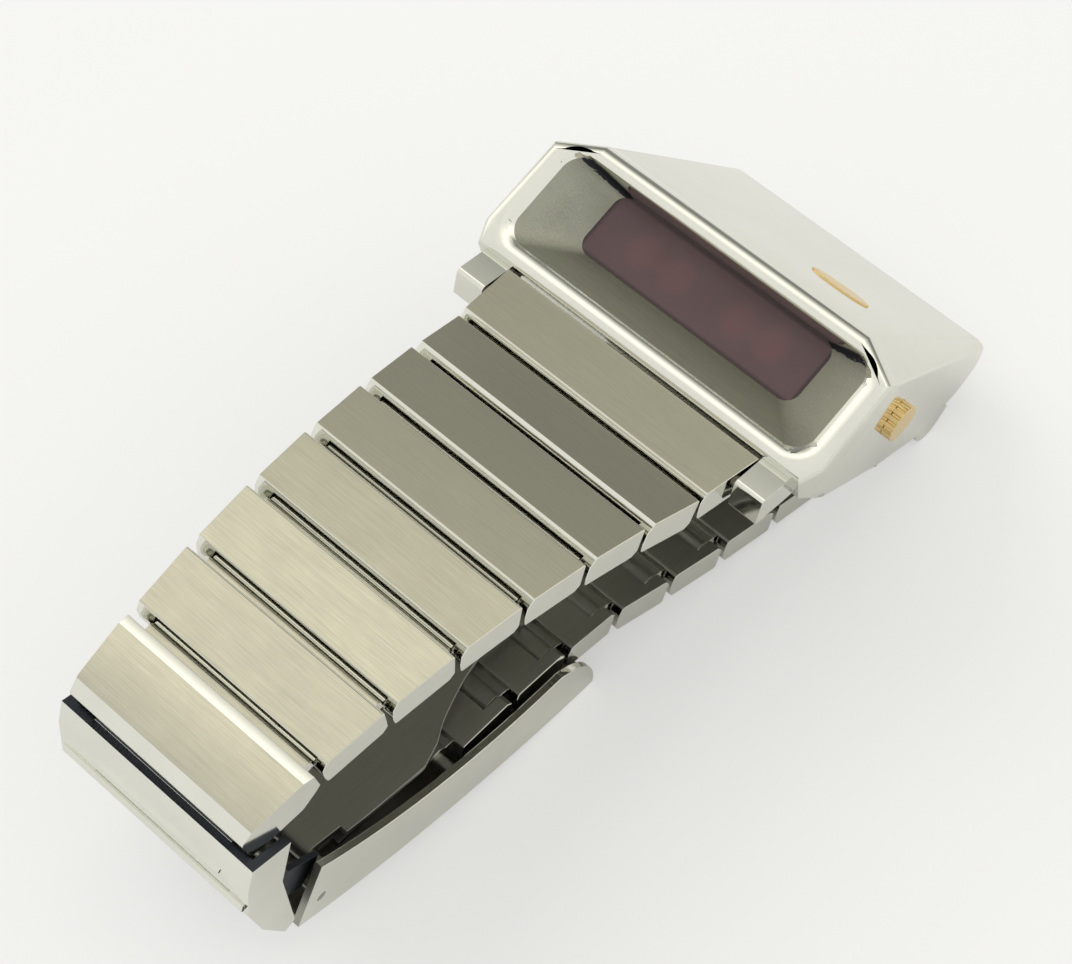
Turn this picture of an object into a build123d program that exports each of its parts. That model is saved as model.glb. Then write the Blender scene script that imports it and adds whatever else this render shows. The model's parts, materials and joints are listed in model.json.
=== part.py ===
"""Driver's watch with a light-emitting display and a folding bracelet, lengths in millimetres.

Every piece is drawn in the frame of the case: X to 3 o'clock, Y to 12 o'clock, Z out of the dial side.
At the end the whole watch leans back by case_lean and is set down on the surface it lies on.
"""

import math
import os

from build123d import *

# How the watch lies
case_lean = 39.2
clasp_lean = 27.0

# Clearances shared by pieces that fit
running_clearance = 0.02
seat_clearance = 0.01
side_clearance = 0.2
overrun = 2.0

# Case
rim_lean = 60.5
case_half_width = 16.0
case_side_taper = 5.54
rim_rise = 1.9
rim_drop = 9.5
top_inset = 3.6
top_half_width = case_half_width - top_inset
shoulder_drop = 0.1
foot_inset = 0.7
foot_half_width = case_half_width - foot_inset
foot_rise = 1.75
top_slope = 4.5
top_length = 28.0
case_depth = 10.1
tail_reach = 2.5
tail_top_drop = 3.0
tail_low_drop = 5.6
tail_low_reach = 1.4
tail_heel_drop = 9.0
tail_heel_back = 4.4
belly_back = 13.0
belly_end = top_length - belly_back
belly_start = -2.0
tail_round = 1.2
case_wall = 1.0
rim_thickness = 1.6

# Display window and tunnel
window_side = 1.3
window_half_width = case_half_width - window_side
window_top = 0.6
window_bottom = 8.3
window_corner = 1.9
tunnel_depth = 3.4
view_side = 5.7
view_half_width = case_half_width - view_side
view_top = 0.78
view_bottom = 4.82
view_corner = 1.2
tunnel_wall = 0.7
lens_margin = 0.5
lens_thickness = 0.9
gasket_thickness = 0.35
gasket_border = 0.8

# Display module
module_thickness = 1.2
digit_height = 2.8
digit_width = 1.5
digit_stroke = 0.28
digit_relief = 0.25
digit_places = [-5.96, -2.75, 3.01, 6.23]
digit_line = 2.0
colon_gap = 1.1

# Works
works_end = 9.6
works_side = 4.5
works_back = top_length - works_end
works_half_width = case_half_width - works_side
board_thickness = 1.0
chip_size = 5.0
chip_thickness = 1.1
crystal_radius = 1.0
crystal_length = 6.0
cell_radius = 3.9
cell_height = 2.6
cell_gap = 0.2

# Case back
caseback_thickness = 0.9
caseback_side = 5.0
caseback_half_width = case_half_width - caseback_side
caseback_back = 12.5
caseback_end = top_length - caseback_back
caseback_corner = 2.0
seal_thickness = 0.4
seal_border = 0.9
screw_radius = 0.55
screw_head_radius = 0.95
screw_head_height = 0.45
screw_length = 1.6
screw_inset = 1.5
slot_width = 0.25

# Button and top inlay
button_place = (8.2, 4.1)
button_radius = 1.55
button_proud = 0.95
button_travel = 0.6
stem_radius = 0.6
stem_length = 3.4
flute_count = 16
flute_radius = 0.13
spring_wall = 0.3
spring_height = 1.0
spring_inset = 0.25
inlay_place = (5.8, 10.6)
inlay_half_length = 2.65
inlay_half_width = 1.15
inlay_depth = 0.45
inlay_proud = 0.12

# Bracelet links, in the frame of the hinge at their case end: along, outward
pitch = 5.8
end_pitch = 5.56
link_back = 0.9
link_top = 1.6
link_under = 1.1
link_flat = 3.95
bevel_drop = 0.75
link_chamfer = 0.15
link_nose = 4.4
nose_drop = 0.3
nose_under = 4.25
heel_round = 0.45
nose_round = 0.25
tongue_radius = 0.95
tongue_half_height = 0.5
pocket_clearance = 0.1
pin_radius = 0.5
lug_thickness = 1.0
pin_inset = 0.35
front_count = 8
rear_count = 9
bracelet_inset = 4.2
bracelet_half_width = case_half_width - bracelet_inset
end_link_back = 1.7
front_hinge = (-5.03, -10.85)
rear_hinge_inset = 0.6
rear_hinge_drop = 8.3
rear_hinge = (top_length - rear_hinge_inset, -rear_hinge_drop)
front_droops = [32.4, 20.1, 25.2, 30.8, 36.4, 42.6, 49.2, 55.6]
rear_droops = [39.0, 38.9, 36.9, 33.9, 30.0, 27.0, 29.0, 35.9, 41.0]
parallel_links = 3

# Last front link
last_flat = 4.1
last_nose = 5.3
last_lip = 0.9
last_under = 2.0
last_round = 0.8
last_chamfer = 0.8
last_chamfer_drop = 0.35
cap_hinge = (4.2, -1.0)

# Lugs
front_lug_width = 2.5
front_lug_ahead = 1.2
front_lug_back = 3.6
front_lug_top = 1.4
front_lug_under = 1.3
front_lug_round = 0.35
rear_lug_width = 1.3
rear_lug_radius = 1.7

# Clasp, in a frame at the bar that holds the last rear link: forward, up
cover_half_width = 8.8
cover_wall = 0.6
link_side_gap = 0.35
leaf_side_gap = 0.7
clasp_half_width_inside = cover_half_width - cover_wall - link_side_gap
front_taper = (bracelet_half_width - clasp_half_width_inside) / front_count
cover_floor = 0.8
cover_radius = 90.0
cover_low = -4.34
cover_middle = -1.8
cover_front = -15.8
cover_rear = 16.3
cover_mouth = 10.8
cover_wall_front = 3.2
cover_wall_middle = 1.0
cover_wall_rear = 2.4
cover_hinge = (-13.9, -1.3)
cover_knuckle = 1.0
leaf_hinge = (11.7, 4.45)
leaf_knuckle = 0.85
leaf_pin_radius = 0.4
leaf_thickness = 0.5
leaf_half_width = cover_half_width - cover_wall - leaf_side_gap
leaf_tail_inset = 3.35
leaf_tail_half_width = leaf_half_width - leaf_tail_inset
leaf_front_inset = 0.6
leaf_front_half_width = leaf_half_width - leaf_front_inset
leaf_front_end = -10.8
leaf_waist_front = -2.8
leaf_waist_rear = 6.7
waist_shares = [(0.0, 1.0), (0.2, 0.81), (0.36, 0.545), (0.54, 0.34), (0.76, 0.14), (1.0, 0.0)]
outer_leaf_line = [(-13.9, -0.55), (0.0, 1.75), (6.0, 3.05), (11.7, 3.85)]
inner_leaf_line = [(-13.6, 1.85), (-8.0, 1.75), (-3.0, 2.15), (6.0, 4.1), (11.7, 5.05)]
outer_leaf_inset = 0.4
end_bar = (-13.6, 1.3)
end_bar_knuckle = 0.8
knuckle_share = 0.36
knuckle_gap = 0.15
adjust_holes = 4
adjust_step = 2.6
adjust_depth = 0.35
adjust_reach = cover_half_width - cover_wall + adjust_depth
cover_end_bulge = 0.9

# End cap under the last front link, in the clasp frame
cap_half_width = cover_half_width
cap_pocket_side = 1.45
cap_pocket_half_width = clasp_half_width_inside - cap_pocket_side
cap_wall = 0.7
cap_outside = [(-22.9, 10.6), (-22.9, 8.3), (-22.2, 4.8), (-20.1, 1.0), (-17.3, -2.2)]
cap_side_rear = [(-19.4, 10.6), (-19.2, 5.9), (-17.6, 1.6), (-16.5, -1.4)]
cap_plate_thickness = 0.5
saddle_side_gap = 0.3
cap_plate_inside = leaf_front_half_width + saddle_side_gap
cap_plate = [
    (-22.4, 6.6), (-19.3, 7.7), (-17.1, 3.7), (-13.9, 2.5), (-14.3, 1.3), (-15.0, -0.2), (-19.0, 0.2),
]
saddle_clearance = 0.25


def outline(corners):
    """A flat face from corners given as (across, up, corner radius)."""
    points = [Vector(across, up) for across, up, _ in corners]
    count = len(points)
    arcs = []
    for index, (_, _, radius) in enumerate(corners):
        here = points[index]
        back = (points[index - 1] - here).normalized()
        ahead = (points[(index + 1) % count] - here).normalized()
        half_turn = math.radians(back.get_angle(ahead)) / 2
        reach = radius / math.tan(half_turn)
        middle = here + (back + ahead).normalized() * (radius / math.sin(half_turn) - radius)
        arcs.append((here + back * reach, middle, here + ahead * reach))
    edges = []
    for index, (start, middle, end) in enumerate(arcs):
        if corners[index][2] > 0:
            edges.append(ThreePointArc(start, middle, end))
        edges.append(Line(end, arcs[(index + 1) % count][0]))
    return make_face(edges)


def sharp(points):
    """Corners without rounding."""
    return [(across, up, 0) for across, up in points]


def prism(face, half_width):
    """A face grown evenly to both sides of its plane."""
    return extrude(face, half_width, both=True)


def disc(radius, half_width, at=(0, 0)):
    """A round bar across the part."""
    return prism(Pos(at[0], at[1]) * Circle(radius), half_width)


def block(low, high):
    """A box between two corners."""
    size = [top - bottom for bottom, top in zip(low, high)]
    middle = [(top + bottom) / 2 for bottom, top in zip(low, high)]
    return Pos(*middle) * Box(*size)


def side_plane(at=(0, 0), turn=0.0):
    """The plane of a side view: across is Y turned by an angle, up is Z, and out of it is X."""
    turned = math.radians(turn)
    along = (0, math.cos(turned), math.sin(turned))
    return Plane(origin=(0, at[0], at[1]), x_dir=along, z_dir=(1, 0, 0))


def on_side(solid, at=(0, 0), turn=0.0):
    """Moves a solid drawn flat onto a side plane."""
    return side_plane(at, turn).location * solid


rim_across = math.cos(math.radians(rim_lean))
rim_up = math.sin(math.radians(rim_lean))
rim_plane = Plane(origin=(0, 0, 0), x_dir=(1, 0, 0), z_dir=(0, -rim_up, rim_across))


def on_rim(solid, depth=0.0):
    """Moves a solid drawn flat onto the rim's plane, depth behind it."""
    return rim_plane.location * Pos(0, 0, -depth) * solid


def rim_point(rise, depth=0.0):
    """Side-view place of a point on the rim's plane or behind it."""
    return (rise * rim_across + depth * rim_up, rise * rim_up - depth * rim_across)


def rounded_window(half_width, top, bottom, corner):
    """A rounded rectangle on the rim's plane."""
    middle = Pos(0, (top - bottom) / 2)
    return middle * RectangleRounded(2 * half_width, top + bottom, corner)


def case_body():
    """The whole outer form of the case, solid."""
    top_front = rim_point(rim_rise)
    tail_top = (top_front[0] + top_length, top_front[1] - top_length * math.tan(math.radians(top_slope)))
    tail = tail_top[0] + tail_reach
    corners = [
        (*top_front, 0),
        (*tail_top, tail_round),
        (tail, -tail_top_drop, tail_round),
        (tail - tail_low_reach, -tail_low_drop, tail_round),
        (tail_top[0] - tail_heel_back, -tail_heel_drop, tail_round),
        (belly_end, -case_depth, tail_round),
        (belly_start, -case_depth, 0),
        (*rim_point(-rim_drop), 0),
    ]
    body = on_side(prism(outline(corners), case_half_width + overrun))
    spread = math.tan(math.radians(case_side_taper))
    ahead, behind = belly_start - case_depth, tail + overrun
    plan = [
        (-case_half_width, ahead),
        (case_half_width, ahead),
        (case_half_width, 0),
        (case_half_width - behind * spread, behind),
        (-case_half_width + behind * spread, behind),
        (-case_half_width, 0),
    ]
    body &= prism(make_face(Polyline(*plan, close=True)), case_depth + overrun)
    return body, tail


def facets(body, tail):
    """Cuts the slanting facets along the top edges and the front corners at the foot."""
    side_run = case_half_width - top_half_width
    side_fall = rim_rise - shoulder_drop
    facet_angle = math.degrees(math.atan2(side_fall, side_run))
    top_front = rim_point(rim_rise)
    length = tail + case_half_width
    cutter = Pos(0, 0, overrun) * Box(2 * case_half_width, 2 * length, 2 * overrun)
    for side in (-1, 1):
        tilt = Rot(0, side * facet_angle, 0) * cutter
        slope = Rot(-top_slope, 0, 0) * tilt
        body -= Pos(side * top_half_width, *top_front) * slope
        foot_run = case_half_width - foot_half_width
        foot_angle = math.degrees(math.atan2(foot_rise, foot_run))
        foot = Pos(side * foot_half_width, -rim_drop) * Rot(0, 0, side * (foot_angle - 90))
        wedge = foot * Pos(side * overrun, 0) * Box(2 * overrun, 2 * case_half_width, 2 * case_depth)
        body -= on_rim(wedge)
    return body


def behind_rim(solid, depth):
    """The part of a solid that lies more than depth behind the rim's plane."""
    size = 2 * (case_half_width + top_length)
    keep = on_rim(Pos(0, 0, -size / 2) * Box(size, size, size), depth)
    return solid & keep


def front_of(solid, depth):
    """The part of a solid that lies less than depth behind the rim's plane."""
    size = 2 * (case_half_width + top_length)
    keep = on_rim(Pos(0, 0, size / 2) * Box(size, size, size), depth)
    return solid & keep


def tunnel(grow=0.0):
    """The tapering space from the window back to the lens, grown by a wall."""
    near = rounded_window(
        window_half_width + grow, window_top + grow, window_bottom + grow, window_corner + grow
    )
    far = rounded_window(view_half_width + grow, view_top + grow, view_bottom + grow, view_corner + grow)
    return loft([near, Pos(0, 0, -tunnel_depth) * far])


def lens_box(grow, depth, thickness):
    """A flat rounded plate behind the tunnel, as large as the view grown by an amount."""
    plate = rounded_window(view_half_width + grow, view_top + grow, view_bottom + grow, view_corner + grow)
    return on_rim(Pos(0, 0, -thickness) * extrude(plate, thickness), depth)


def front_bezel(body):
    """The polished rim with the brushed tunnel behind it and the frame that the lens sits in."""
    frame_grow = lens_margin + tunnel_wall
    frame_depth = lens_thickness + gasket_thickness
    rim = front_of(body, rim_thickness)
    shroud = on_rim(tunnel(tunnel_wall))
    frame = lens_box(frame_grow, tunnel_depth - tunnel_wall, tunnel_wall + frame_depth)
    seat = lens_box(lens_margin, tunnel_depth, frame_depth + overrun)
    return (rim + shroud + frame) - on_rim(tunnel()) - seat


def display_pieces():
    """Lens, its gasket, the lit digits and the board that carries them."""
    lens = lens_box(lens_margin - seat_clearance, tunnel_depth, lens_thickness)
    gasket_depth = tunnel_depth + lens_thickness
    gasket = lens_box(lens_margin - seat_clearance, gasket_depth, gasket_thickness)
    gasket -= lens_box(lens_margin - gasket_border, gasket_depth - overrun, 2 * overrun)
    board_depth = gasket_depth + gasket_thickness
    board = lens_box(lens_margin, board_depth, module_thickness)
    digits = []
    for place in digit_places:
        digits += digit_bars(place, board_depth)
    for side in (-1, 1):
        dot = Box(digit_stroke, digit_stroke, digit_relief)
        height = side * colon_gap / 2 - digit_line
        digits.append(on_rim(Pos(0, height, digit_relief / 2) * dot, board_depth))
    return lens, gasket, board, Compound(children=digits)


def digit_bars(place, depth):
    """The seven lit bars of one figure."""
    bars = []
    length = digit_width - 2 * digit_stroke
    for level in (-1, 0, 1):
        bar = Box(length, digit_stroke, digit_relief)
        height = level * (digit_height - digit_stroke) / 2
        bars.append(Pos(place, height - digit_line, digit_relief / 2) * bar)
    upright = digit_height / 2 - 2 * digit_stroke
    for side in (-1, 1):
        for level in (-1, 1):
            bar = Box(digit_stroke, upright, digit_relief)
            across = place + side * (digit_width - digit_stroke) / 2
            bars.append(Pos(across, level * digit_height / 4 - digit_line, digit_relief / 2) * bar)
    return [on_rim(bar, depth) for bar in bars]


frame_back = tunnel_depth + lens_thickness + gasket_thickness + module_thickness
caseback_start = rim_point(-view_bottom - lens_margin, frame_back)[0] + side_clearance / 2
works_low = -case_depth + caseback_thickness + seal_thickness
board_top = works_low + cell_height + cell_gap + board_thickness
board_meets = (board_top + frame_back * rim_across) / rim_up
board_front = rim_point(board_meets, frame_back)[0] + side_clearance / 2


def works_pieces():
    """Carrier, circuit board, chip, crystal and two cells, stacked on the case back."""
    board_low = board_top - board_thickness
    board = block((-works_half_width, board_front, board_low), (works_half_width, works_back, board_top))
    chip_middle = (board_front + works_back) / 2
    chip = Pos(0, chip_middle, board_top + chip_thickness / 2) * Box(chip_size, chip_size, chip_thickness)
    crystal = Cylinder(crystal_radius, crystal_length, rotation=(90, 0, 0))
    crystal = Pos(works_half_width - crystal_length / 2, chip_middle, board_top + crystal_radius) * crystal
    cell_y = board_front + works_half_width / 2
    cells = []
    for side in (-1, 1):
        cell = Cylinder(cell_radius, cell_height)
        cell_x = side * works_half_width / 2
        cells.append(Pos(cell_x, cell_y, board_low - cell_height / 2) * cell)
    carrier = block(
        (-works_half_width, board_front, works_low), (works_half_width, caseback_end, board_low)
    )
    for side in (-1, 1):
        hole = Cylinder(cell_radius + seat_clearance, 2 * case_depth)
        carrier -= Pos(side * works_half_width / 2, cell_y, board_low) * hole
    for across, row in screw_places():
        carrier -= Pos(across, row, works_low) * Cylinder(screw_radius + running_clearance, screw_length)
    return board, chip, crystal, Compound(children=cells), carrier


def hollow():
    """The space inside the case for the works and the back of the tunnel."""
    room = side_clearance / 2
    works = block(
        (-works_half_width - room, board_front - room, works_low),
        (works_half_width + room, works_back + room, board_top + 2 * crystal_radius + room),
    )
    opening = block(
        (-caseback_half_width, caseback_start, -case_depth - overrun),
        (caseback_half_width, caseback_end, works_low),
    )
    return works + opening


def screw_places():
    """The four corners of the case back."""
    across = caseback_half_width - screw_inset
    rows = (caseback_start + screw_inset, caseback_end - screw_inset)
    return [(side * across, row) for side in (-1, 1) for row in rows]


def caseback_pieces():
    """The case back, its seal and its four screws."""
    middle = (caseback_start + caseback_end) / 2
    length = caseback_end - caseback_start
    plate = RectangleRounded(2 * caseback_half_width, length, caseback_corner)
    inside = RectangleRounded(
        2 * (caseback_half_width - seal_border), length - 2 * seal_border, caseback_corner - seal_border
    )
    back = Pos(0, middle, -case_depth) * extrude(plate, caseback_thickness)
    seal = Pos(0, middle, -case_depth + caseback_thickness) * extrude(plate - inside, seal_thickness)
    screws = []
    for across, row in screw_places():
        head = Pos(0, 0, screw_head_height / 2) * Cylinder(screw_head_radius, screw_head_height)
        shank = Pos(0, 0, screw_length / 2) * Cylinder(screw_radius, screw_length)
        slot = Box(2 * screw_head_radius, slot_width, screw_head_height)
        screw = Pos(across, row, -case_depth) * (head + shank - slot)
        screws.append(screw)
        room = Cylinder(screw_radius + seat_clearance, 2 * overrun)
        recess = Cylinder(screw_head_radius + seat_clearance, 2 * screw_head_height)
        back -= Pos(across, row, -case_depth) * (room + recess)
        seal -= Pos(across, row, -case_depth) * room
    return back, seal, Compound(children=screws)


def wall_at(y):
    """Half width of the case where the button goes in."""
    return case_half_width - y * math.tan(math.radians(case_side_taper))


def button_pieces():
    """The fluted button with its stem, and the spring behind its head, drawn at its pressed length."""
    face = wall_at(button_place[0])
    under = face - spring_inset
    low = under - spring_height - button_travel - running_clearance
    end = face + button_proud
    head = Pos(0, 0, (end + under) / 2) * Cylinder(button_radius, end - under)
    for index in range(flute_count):
        turn = Rot(0, 0, index * 360 / flute_count)
        head -= turn * Pos(button_radius, 0, end) * Cylinder(flute_radius, 2 * button_proud)
    stem = Pos(0, 0, under - stem_length / 2) * Cylinder(stem_radius, stem_length)
    across = Plane(origin=(0, button_place[0], -button_place[1]), x_dir=(0, 1, 0), z_dir=(1, 0, 0))
    ring = Cylinder(button_radius - spring_wall, spring_height)
    ring -= Cylinder(button_radius - 2 * spring_wall, 2 * spring_height)
    spring = Pos(0, 0, under - spring_height / 2) * ring
    well = Pos(0, 0, low + case_half_width / 2) * Cylinder(
        button_radius + running_clearance, case_half_width
    )
    reach = stem_length + button_travel + overrun
    bore = Pos(0, 0, low) * Cylinder(stem_radius + running_clearance, 2 * reach)
    return across.location * (head + stem), across.location * spring, across.location * (well + bore)


def inlay(grow, proud):
    """The oval plate let into the top, or grown and taller the recess that it lies in."""
    top_front = rim_point(rim_rise)
    oval = Ellipse(inlay_half_length + grow, inlay_half_width + grow)
    solid = Pos(0, 0, -inlay_depth) * extrude(oval, inlay_depth + proud)
    run = inlay_place[1] - top_front[0]
    return Pos(0, *top_front) * Rot(-top_slope, 0, 0) * Pos(inlay_place[0], run, 0) * solid


def droop_vector(droop, length):
    """A step towards the wrist side of the case, drooping by an angle."""
    turned = math.radians(droop)
    return (-length * math.cos(turned), -length * math.sin(turned))


def hinge_path(start, droops):
    """Hinge places along one half of the bracelet, the end link's step first."""
    places = [start]
    for index, droop in enumerate(droops):
        step = droop_vector(droop, end_pitch if index == 0 else pitch)
        here = places[-1]
        places.append((here[0] + step[0], here[1] + step[1]))
    return places


def link_frame(hinge, droop, outward):
    """Local frame of a link: along the bracelet, outward, and across."""
    along = droop_vector(droop, 1)
    return Plane(origin=(0, *hinge), x_dir=(0, *along), z_dir=(-outward, 0, 0)).location


def plan_cut(start, end, half_start, half_end):
    """A block whose plan tapers along a link."""
    plan = [(start, -half_start), (end, -half_end), (end, half_end), (start, half_start)]
    face = make_face(Polyline(*plan, close=True))
    tall = prism(face, link_top + last_under + overrun)
    return Rot(90, 0, 0) * tall


def pocket(radius, inner_half_width):
    """The space for the next link's tongue, open behind and below."""
    room = radius + pocket_clearance
    below = link_under + pocket_clearance
    hole = disc(room, inner_half_width)
    hole += block((-room, -below, -inner_half_width), (room, 0, inner_half_width))
    return hole + block((-room, 0, -inner_half_width), (0, room, inner_half_width))


def link_body(profile, half_start, half_end, step):
    """A link's tapered bar without its tongue."""
    solid = prism(outline(profile), bracelet_half_width + overrun)
    shrink = (half_start - half_end) / step
    ahead = step + overrun
    return solid & plan_cut(-overrun, ahead, half_start + overrun * shrink, half_end - overrun * shrink)


def tongue(step, half_width):
    """The ring that the next piece's pin goes through, with its neck."""
    ring = disc(tongue_radius, half_width, (step, 0))
    root = step - pitch + link_flat
    neck = block((root, -tongue_half_height, -half_width), (step, tongue_half_height, half_width))
    return ring + neck


def common_profile(step, back):
    """Side outline of a link, the flat shortened with its step and the back as long as given."""
    change = step - pitch
    return [
        (-back, link_top - link_chamfer, 0),
        (link_chamfer - back, link_top, 0),
        (link_flat + change, link_top, 0),
        (link_nose + change, link_top - bevel_drop, 0),
        (link_nose + change, -nose_drop, nose_round),
        (nose_under + change, -link_under, nose_round),
        (-heel_round, -link_under, 0),
        (-back, heel_round - link_under, 0),
    ]


def hinge_pin(half_width):
    """A round pin across a hinge."""
    return disc(pin_radius, half_width)


def link_pieces(frame, step, half_start, half_end, is_end):
    """One link and its pin, placed."""
    back = end_link_back if is_end else link_back
    body = link_body(common_profile(step, back), half_start, half_end, step)
    next_half = half_end - lug_thickness - pocket_clearance
    body += tongue(step, next_half)
    body -= disc(pin_radius + running_clearance, bracelet_half_width, (step, 0))
    if is_end:
        body -= disc(pin_radius + seat_clearance, bracelet_half_width + overrun)
        pin = hinge_pin(half_start + side_clearance + lug_thickness)
    else:
        body -= pocket(tongue_radius, half_start - lug_thickness)
        body -= disc(pin_radius + seat_clearance, half_start - pin_inset)
        pin = hinge_pin(half_start - pin_inset - seat_clearance)
    return frame * body, frame * pin


def last_link_pieces(frame, half_start):
    """The thick last front link with the pocket that the end cap hangs in, and its pin."""
    profile = [
        (-link_back, link_top - last_chamfer_drop, 0),
        (last_chamfer - link_back, link_top, 0),
        (last_flat, link_top, last_round),
        (last_nose, last_lip, last_round / 2),
        (last_nose, -last_under, last_round),
        (link_back, -last_under, last_round),
        (-heel_round, -link_under, 0),
        (-link_back, heel_round - link_under, 0),
    ]
    body = link_body(profile, half_start, clasp_half_width_inside, last_nose)
    body -= pocket(tongue_radius, half_start - lug_thickness)
    body -= disc(pin_radius + seat_clearance, half_start - pin_inset)
    room = tongue_radius + 2 * pocket_clearance
    inside = cap_pocket_half_width
    body -= disc(room, inside, cap_hinge)
    body -= block(
        (cap_hinge[0] - room, -last_under - overrun, -inside),
        (last_nose + overrun, cap_hinge[1] + tongue_half_height, inside),
    )
    body -= disc(pin_radius + seat_clearance, clasp_half_width_inside - pin_inset, cap_hinge)
    pin = hinge_pin(half_start - pin_inset - seat_clearance)
    bar = disc(pin_radius, clasp_half_width_inside - pin_inset - seat_clearance, cap_hinge)
    return frame * body, frame * pin, frame * bar


def front_half(index):
    """Half width of the front bracelet at a hinge."""
    return bracelet_half_width - front_taper * index


def rear_half(index):
    """Half width of the rear bracelet at a hinge: tapered, then parallel inside the clasp."""
    tapered = rear_count - parallel_links
    share = max(0, tapered - index) / tapered
    return clasp_half_width_inside + (bracelet_half_width - clasp_half_width_inside) * share


front_places = hinge_path(front_hinge, front_droops)
rear_places = hinge_path(rear_hinge, rear_droops)
clasp_place = rear_places[-1]
clasp_side = side_plane(clasp_place, clasp_lean)


def in_clasp(solid):
    """Moves a solid drawn in the clasp's side view to its place."""
    return clasp_side.location * solid


def cover_bottom(forward):
    """Height of the cover's outer face at a place along it."""
    reach = forward - cover_middle
    return cover_low + cover_radius - math.sqrt(cover_radius ** 2 - reach ** 2)


def clasp_cover():
    """The curved outer cover: a channel, blind holes for the adjusting bar, holes for the hinge pin."""
    front_low = (cover_front, cover_bottom(cover_front))
    rear_low = (cover_rear, cover_bottom(cover_rear))
    floor_arc = ThreePointArc(rear_low, (cover_middle, cover_low), front_low)
    top_front = (cover_front + link_back, cover_wall_front)
    top_rear = (cover_mouth, cover_wall_rear)
    middle = ((top_front[0] + top_rear[0]) / 2, cover_wall_middle)
    end_middle = (
        (top_rear[0] + rear_low[0]) / 2 + cover_end_bulge,
        (top_rear[1] + rear_low[1]) / 2 + cover_end_bulge,
    )
    edges = [
        floor_arc,
        Line(front_low, top_front),
        ThreePointArc(top_front, middle, top_rear),
        ThreePointArc(top_rear, end_middle, rear_low),
    ]
    outside = prism(make_face(edges), cover_half_width)
    lift = Pos(0, cover_floor) * prism(make_face(edges), cover_half_width - cover_wall)
    high = Pos(0, cover_floor + overrun) * prism(make_face(edges), cover_half_width - cover_wall)
    cover = outside - lift - high
    cover -= block(
        (cover_front - overrun, cover_wall_middle, -cover_half_width + cover_wall),
        (cover_rear + overrun, cover_wall_front + overrun, cover_half_width - cover_wall),
    )
    room = (cover_front - overrun, cover_bottom(cover_front) + cover_floor, cover_wall - cover_half_width)
    cover -= block(room, (cover_hinge[0], cover_wall_front, cover_half_width - cover_wall))
    mouth = (cover_mouth, cover_bottom(cover_rear) + cover_floor, cover_wall - cover_half_width)
    cover -= block(mouth, (cover_rear + overrun, cover_wall_front, cover_half_width - cover_wall))
    for index in range(adjust_holes):
        cover -= disc(pin_radius + seat_clearance, adjust_reach, (-index * adjust_step, 0))
    return cover - disc(leaf_pin_radius + seat_clearance, cover_half_width + overrun, cover_hinge)


def strip(line, thickness):
    """A thin bent plate's side outline along a line of points."""
    half = thickness / 2
    return [(along, up + half) for along, up in line] + [(along, up - half) for along, up in line[::-1]]


def leaf_plan(inset):
    """Plan of a leaf: narrow at the front end, wide, waisted, and narrow at the rear."""
    reach = leaf_waist_rear - leaf_waist_front
    spread = leaf_half_width - leaf_tail_half_width
    side = [
        (leaf_waist_front + along * reach, leaf_tail_half_width + wide * spread - inset)
        for along, wide in waist_shares
    ]
    front = cover_front - overrun
    half = [(front, leaf_front_half_width - inset), (leaf_front_end, leaf_front_half_width - inset)]
    half += [(leaf_front_end, leaf_half_width - inset)] + side
    half.append((cover_rear + overrun, leaf_tail_half_width - inset))
    mirrored = [(along, -across) for along, across in half[::-1]]
    face = make_face(Polyline(*(half + mirrored), close=True))
    return Rot(90, 0, 0) * prism(face, cover_half_width + cover_wall_front)


def leaf(line, inset):
    """A bent leaf with its plan cut."""
    return prism(outline(sharp(strip(line, leaf_thickness))), leaf_half_width) & leaf_plan(inset)


def ring_band(centre, radius, low, high):
    """A knuckle ring between two places across the clasp, on both sides."""
    ring = Pos(centre[0], centre[1], (low + high) / 2) * Cylinder(radius, high - low)
    mirrored = Pos(centre[0], centre[1], -(low + high) / 2) * Cylinder(radius, high - low)
    return ring + mirrored


def clasp_leaves():
    """Outer and inner leaf with their knuckles, pins and end bar."""
    inner_split = leaf_tail_half_width * knuckle_share
    outer = leaf(outer_leaf_line, outer_leaf_inset)
    outer -= disc(leaf_knuckle + running_clearance, leaf_half_width, leaf_hinge)
    outer += disc(cover_knuckle, leaf_front_half_width - outer_leaf_inset, cover_hinge)
    link = block(
        (leaf_hinge[0] - leaf_knuckle, outer_leaf_line[-1][1] - leaf_thickness / 2, -inner_split),
        (leaf_hinge[0], leaf_hinge[1], inner_split),
    )
    outer += disc(leaf_knuckle, inner_split, leaf_hinge) + link
    outer -= disc(leaf_pin_radius + running_clearance, leaf_half_width, leaf_hinge)
    outer -= disc(leaf_pin_radius + running_clearance, leaf_half_width + overrun, cover_hinge)
    inner = leaf(inner_leaf_line, 0)
    inner -= disc(leaf_knuckle + pocket_clearance, inner_split + knuckle_gap, leaf_hinge)
    inner += ring_band(leaf_hinge, leaf_knuckle, inner_split + knuckle_gap, leaf_tail_half_width)
    inner += disc(end_bar_knuckle, leaf_front_half_width, end_bar)
    inner -= disc(leaf_pin_radius + seat_clearance, leaf_half_width, leaf_hinge)
    inner -= disc(leaf_pin_radius + seat_clearance, leaf_half_width + overrun, end_bar)
    cover_pin = disc(leaf_pin_radius, cover_half_width - seat_clearance, cover_hinge)
    leaf_pin = disc(leaf_pin_radius, leaf_tail_half_width - seat_clearance, leaf_hinge)
    bar = disc(leaf_pin_radius, cap_plate_inside + cap_plate_thickness, end_bar)
    return [in_clasp(solid) for solid in (outer, inner, cover_pin, leaf_pin, bar)]


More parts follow.
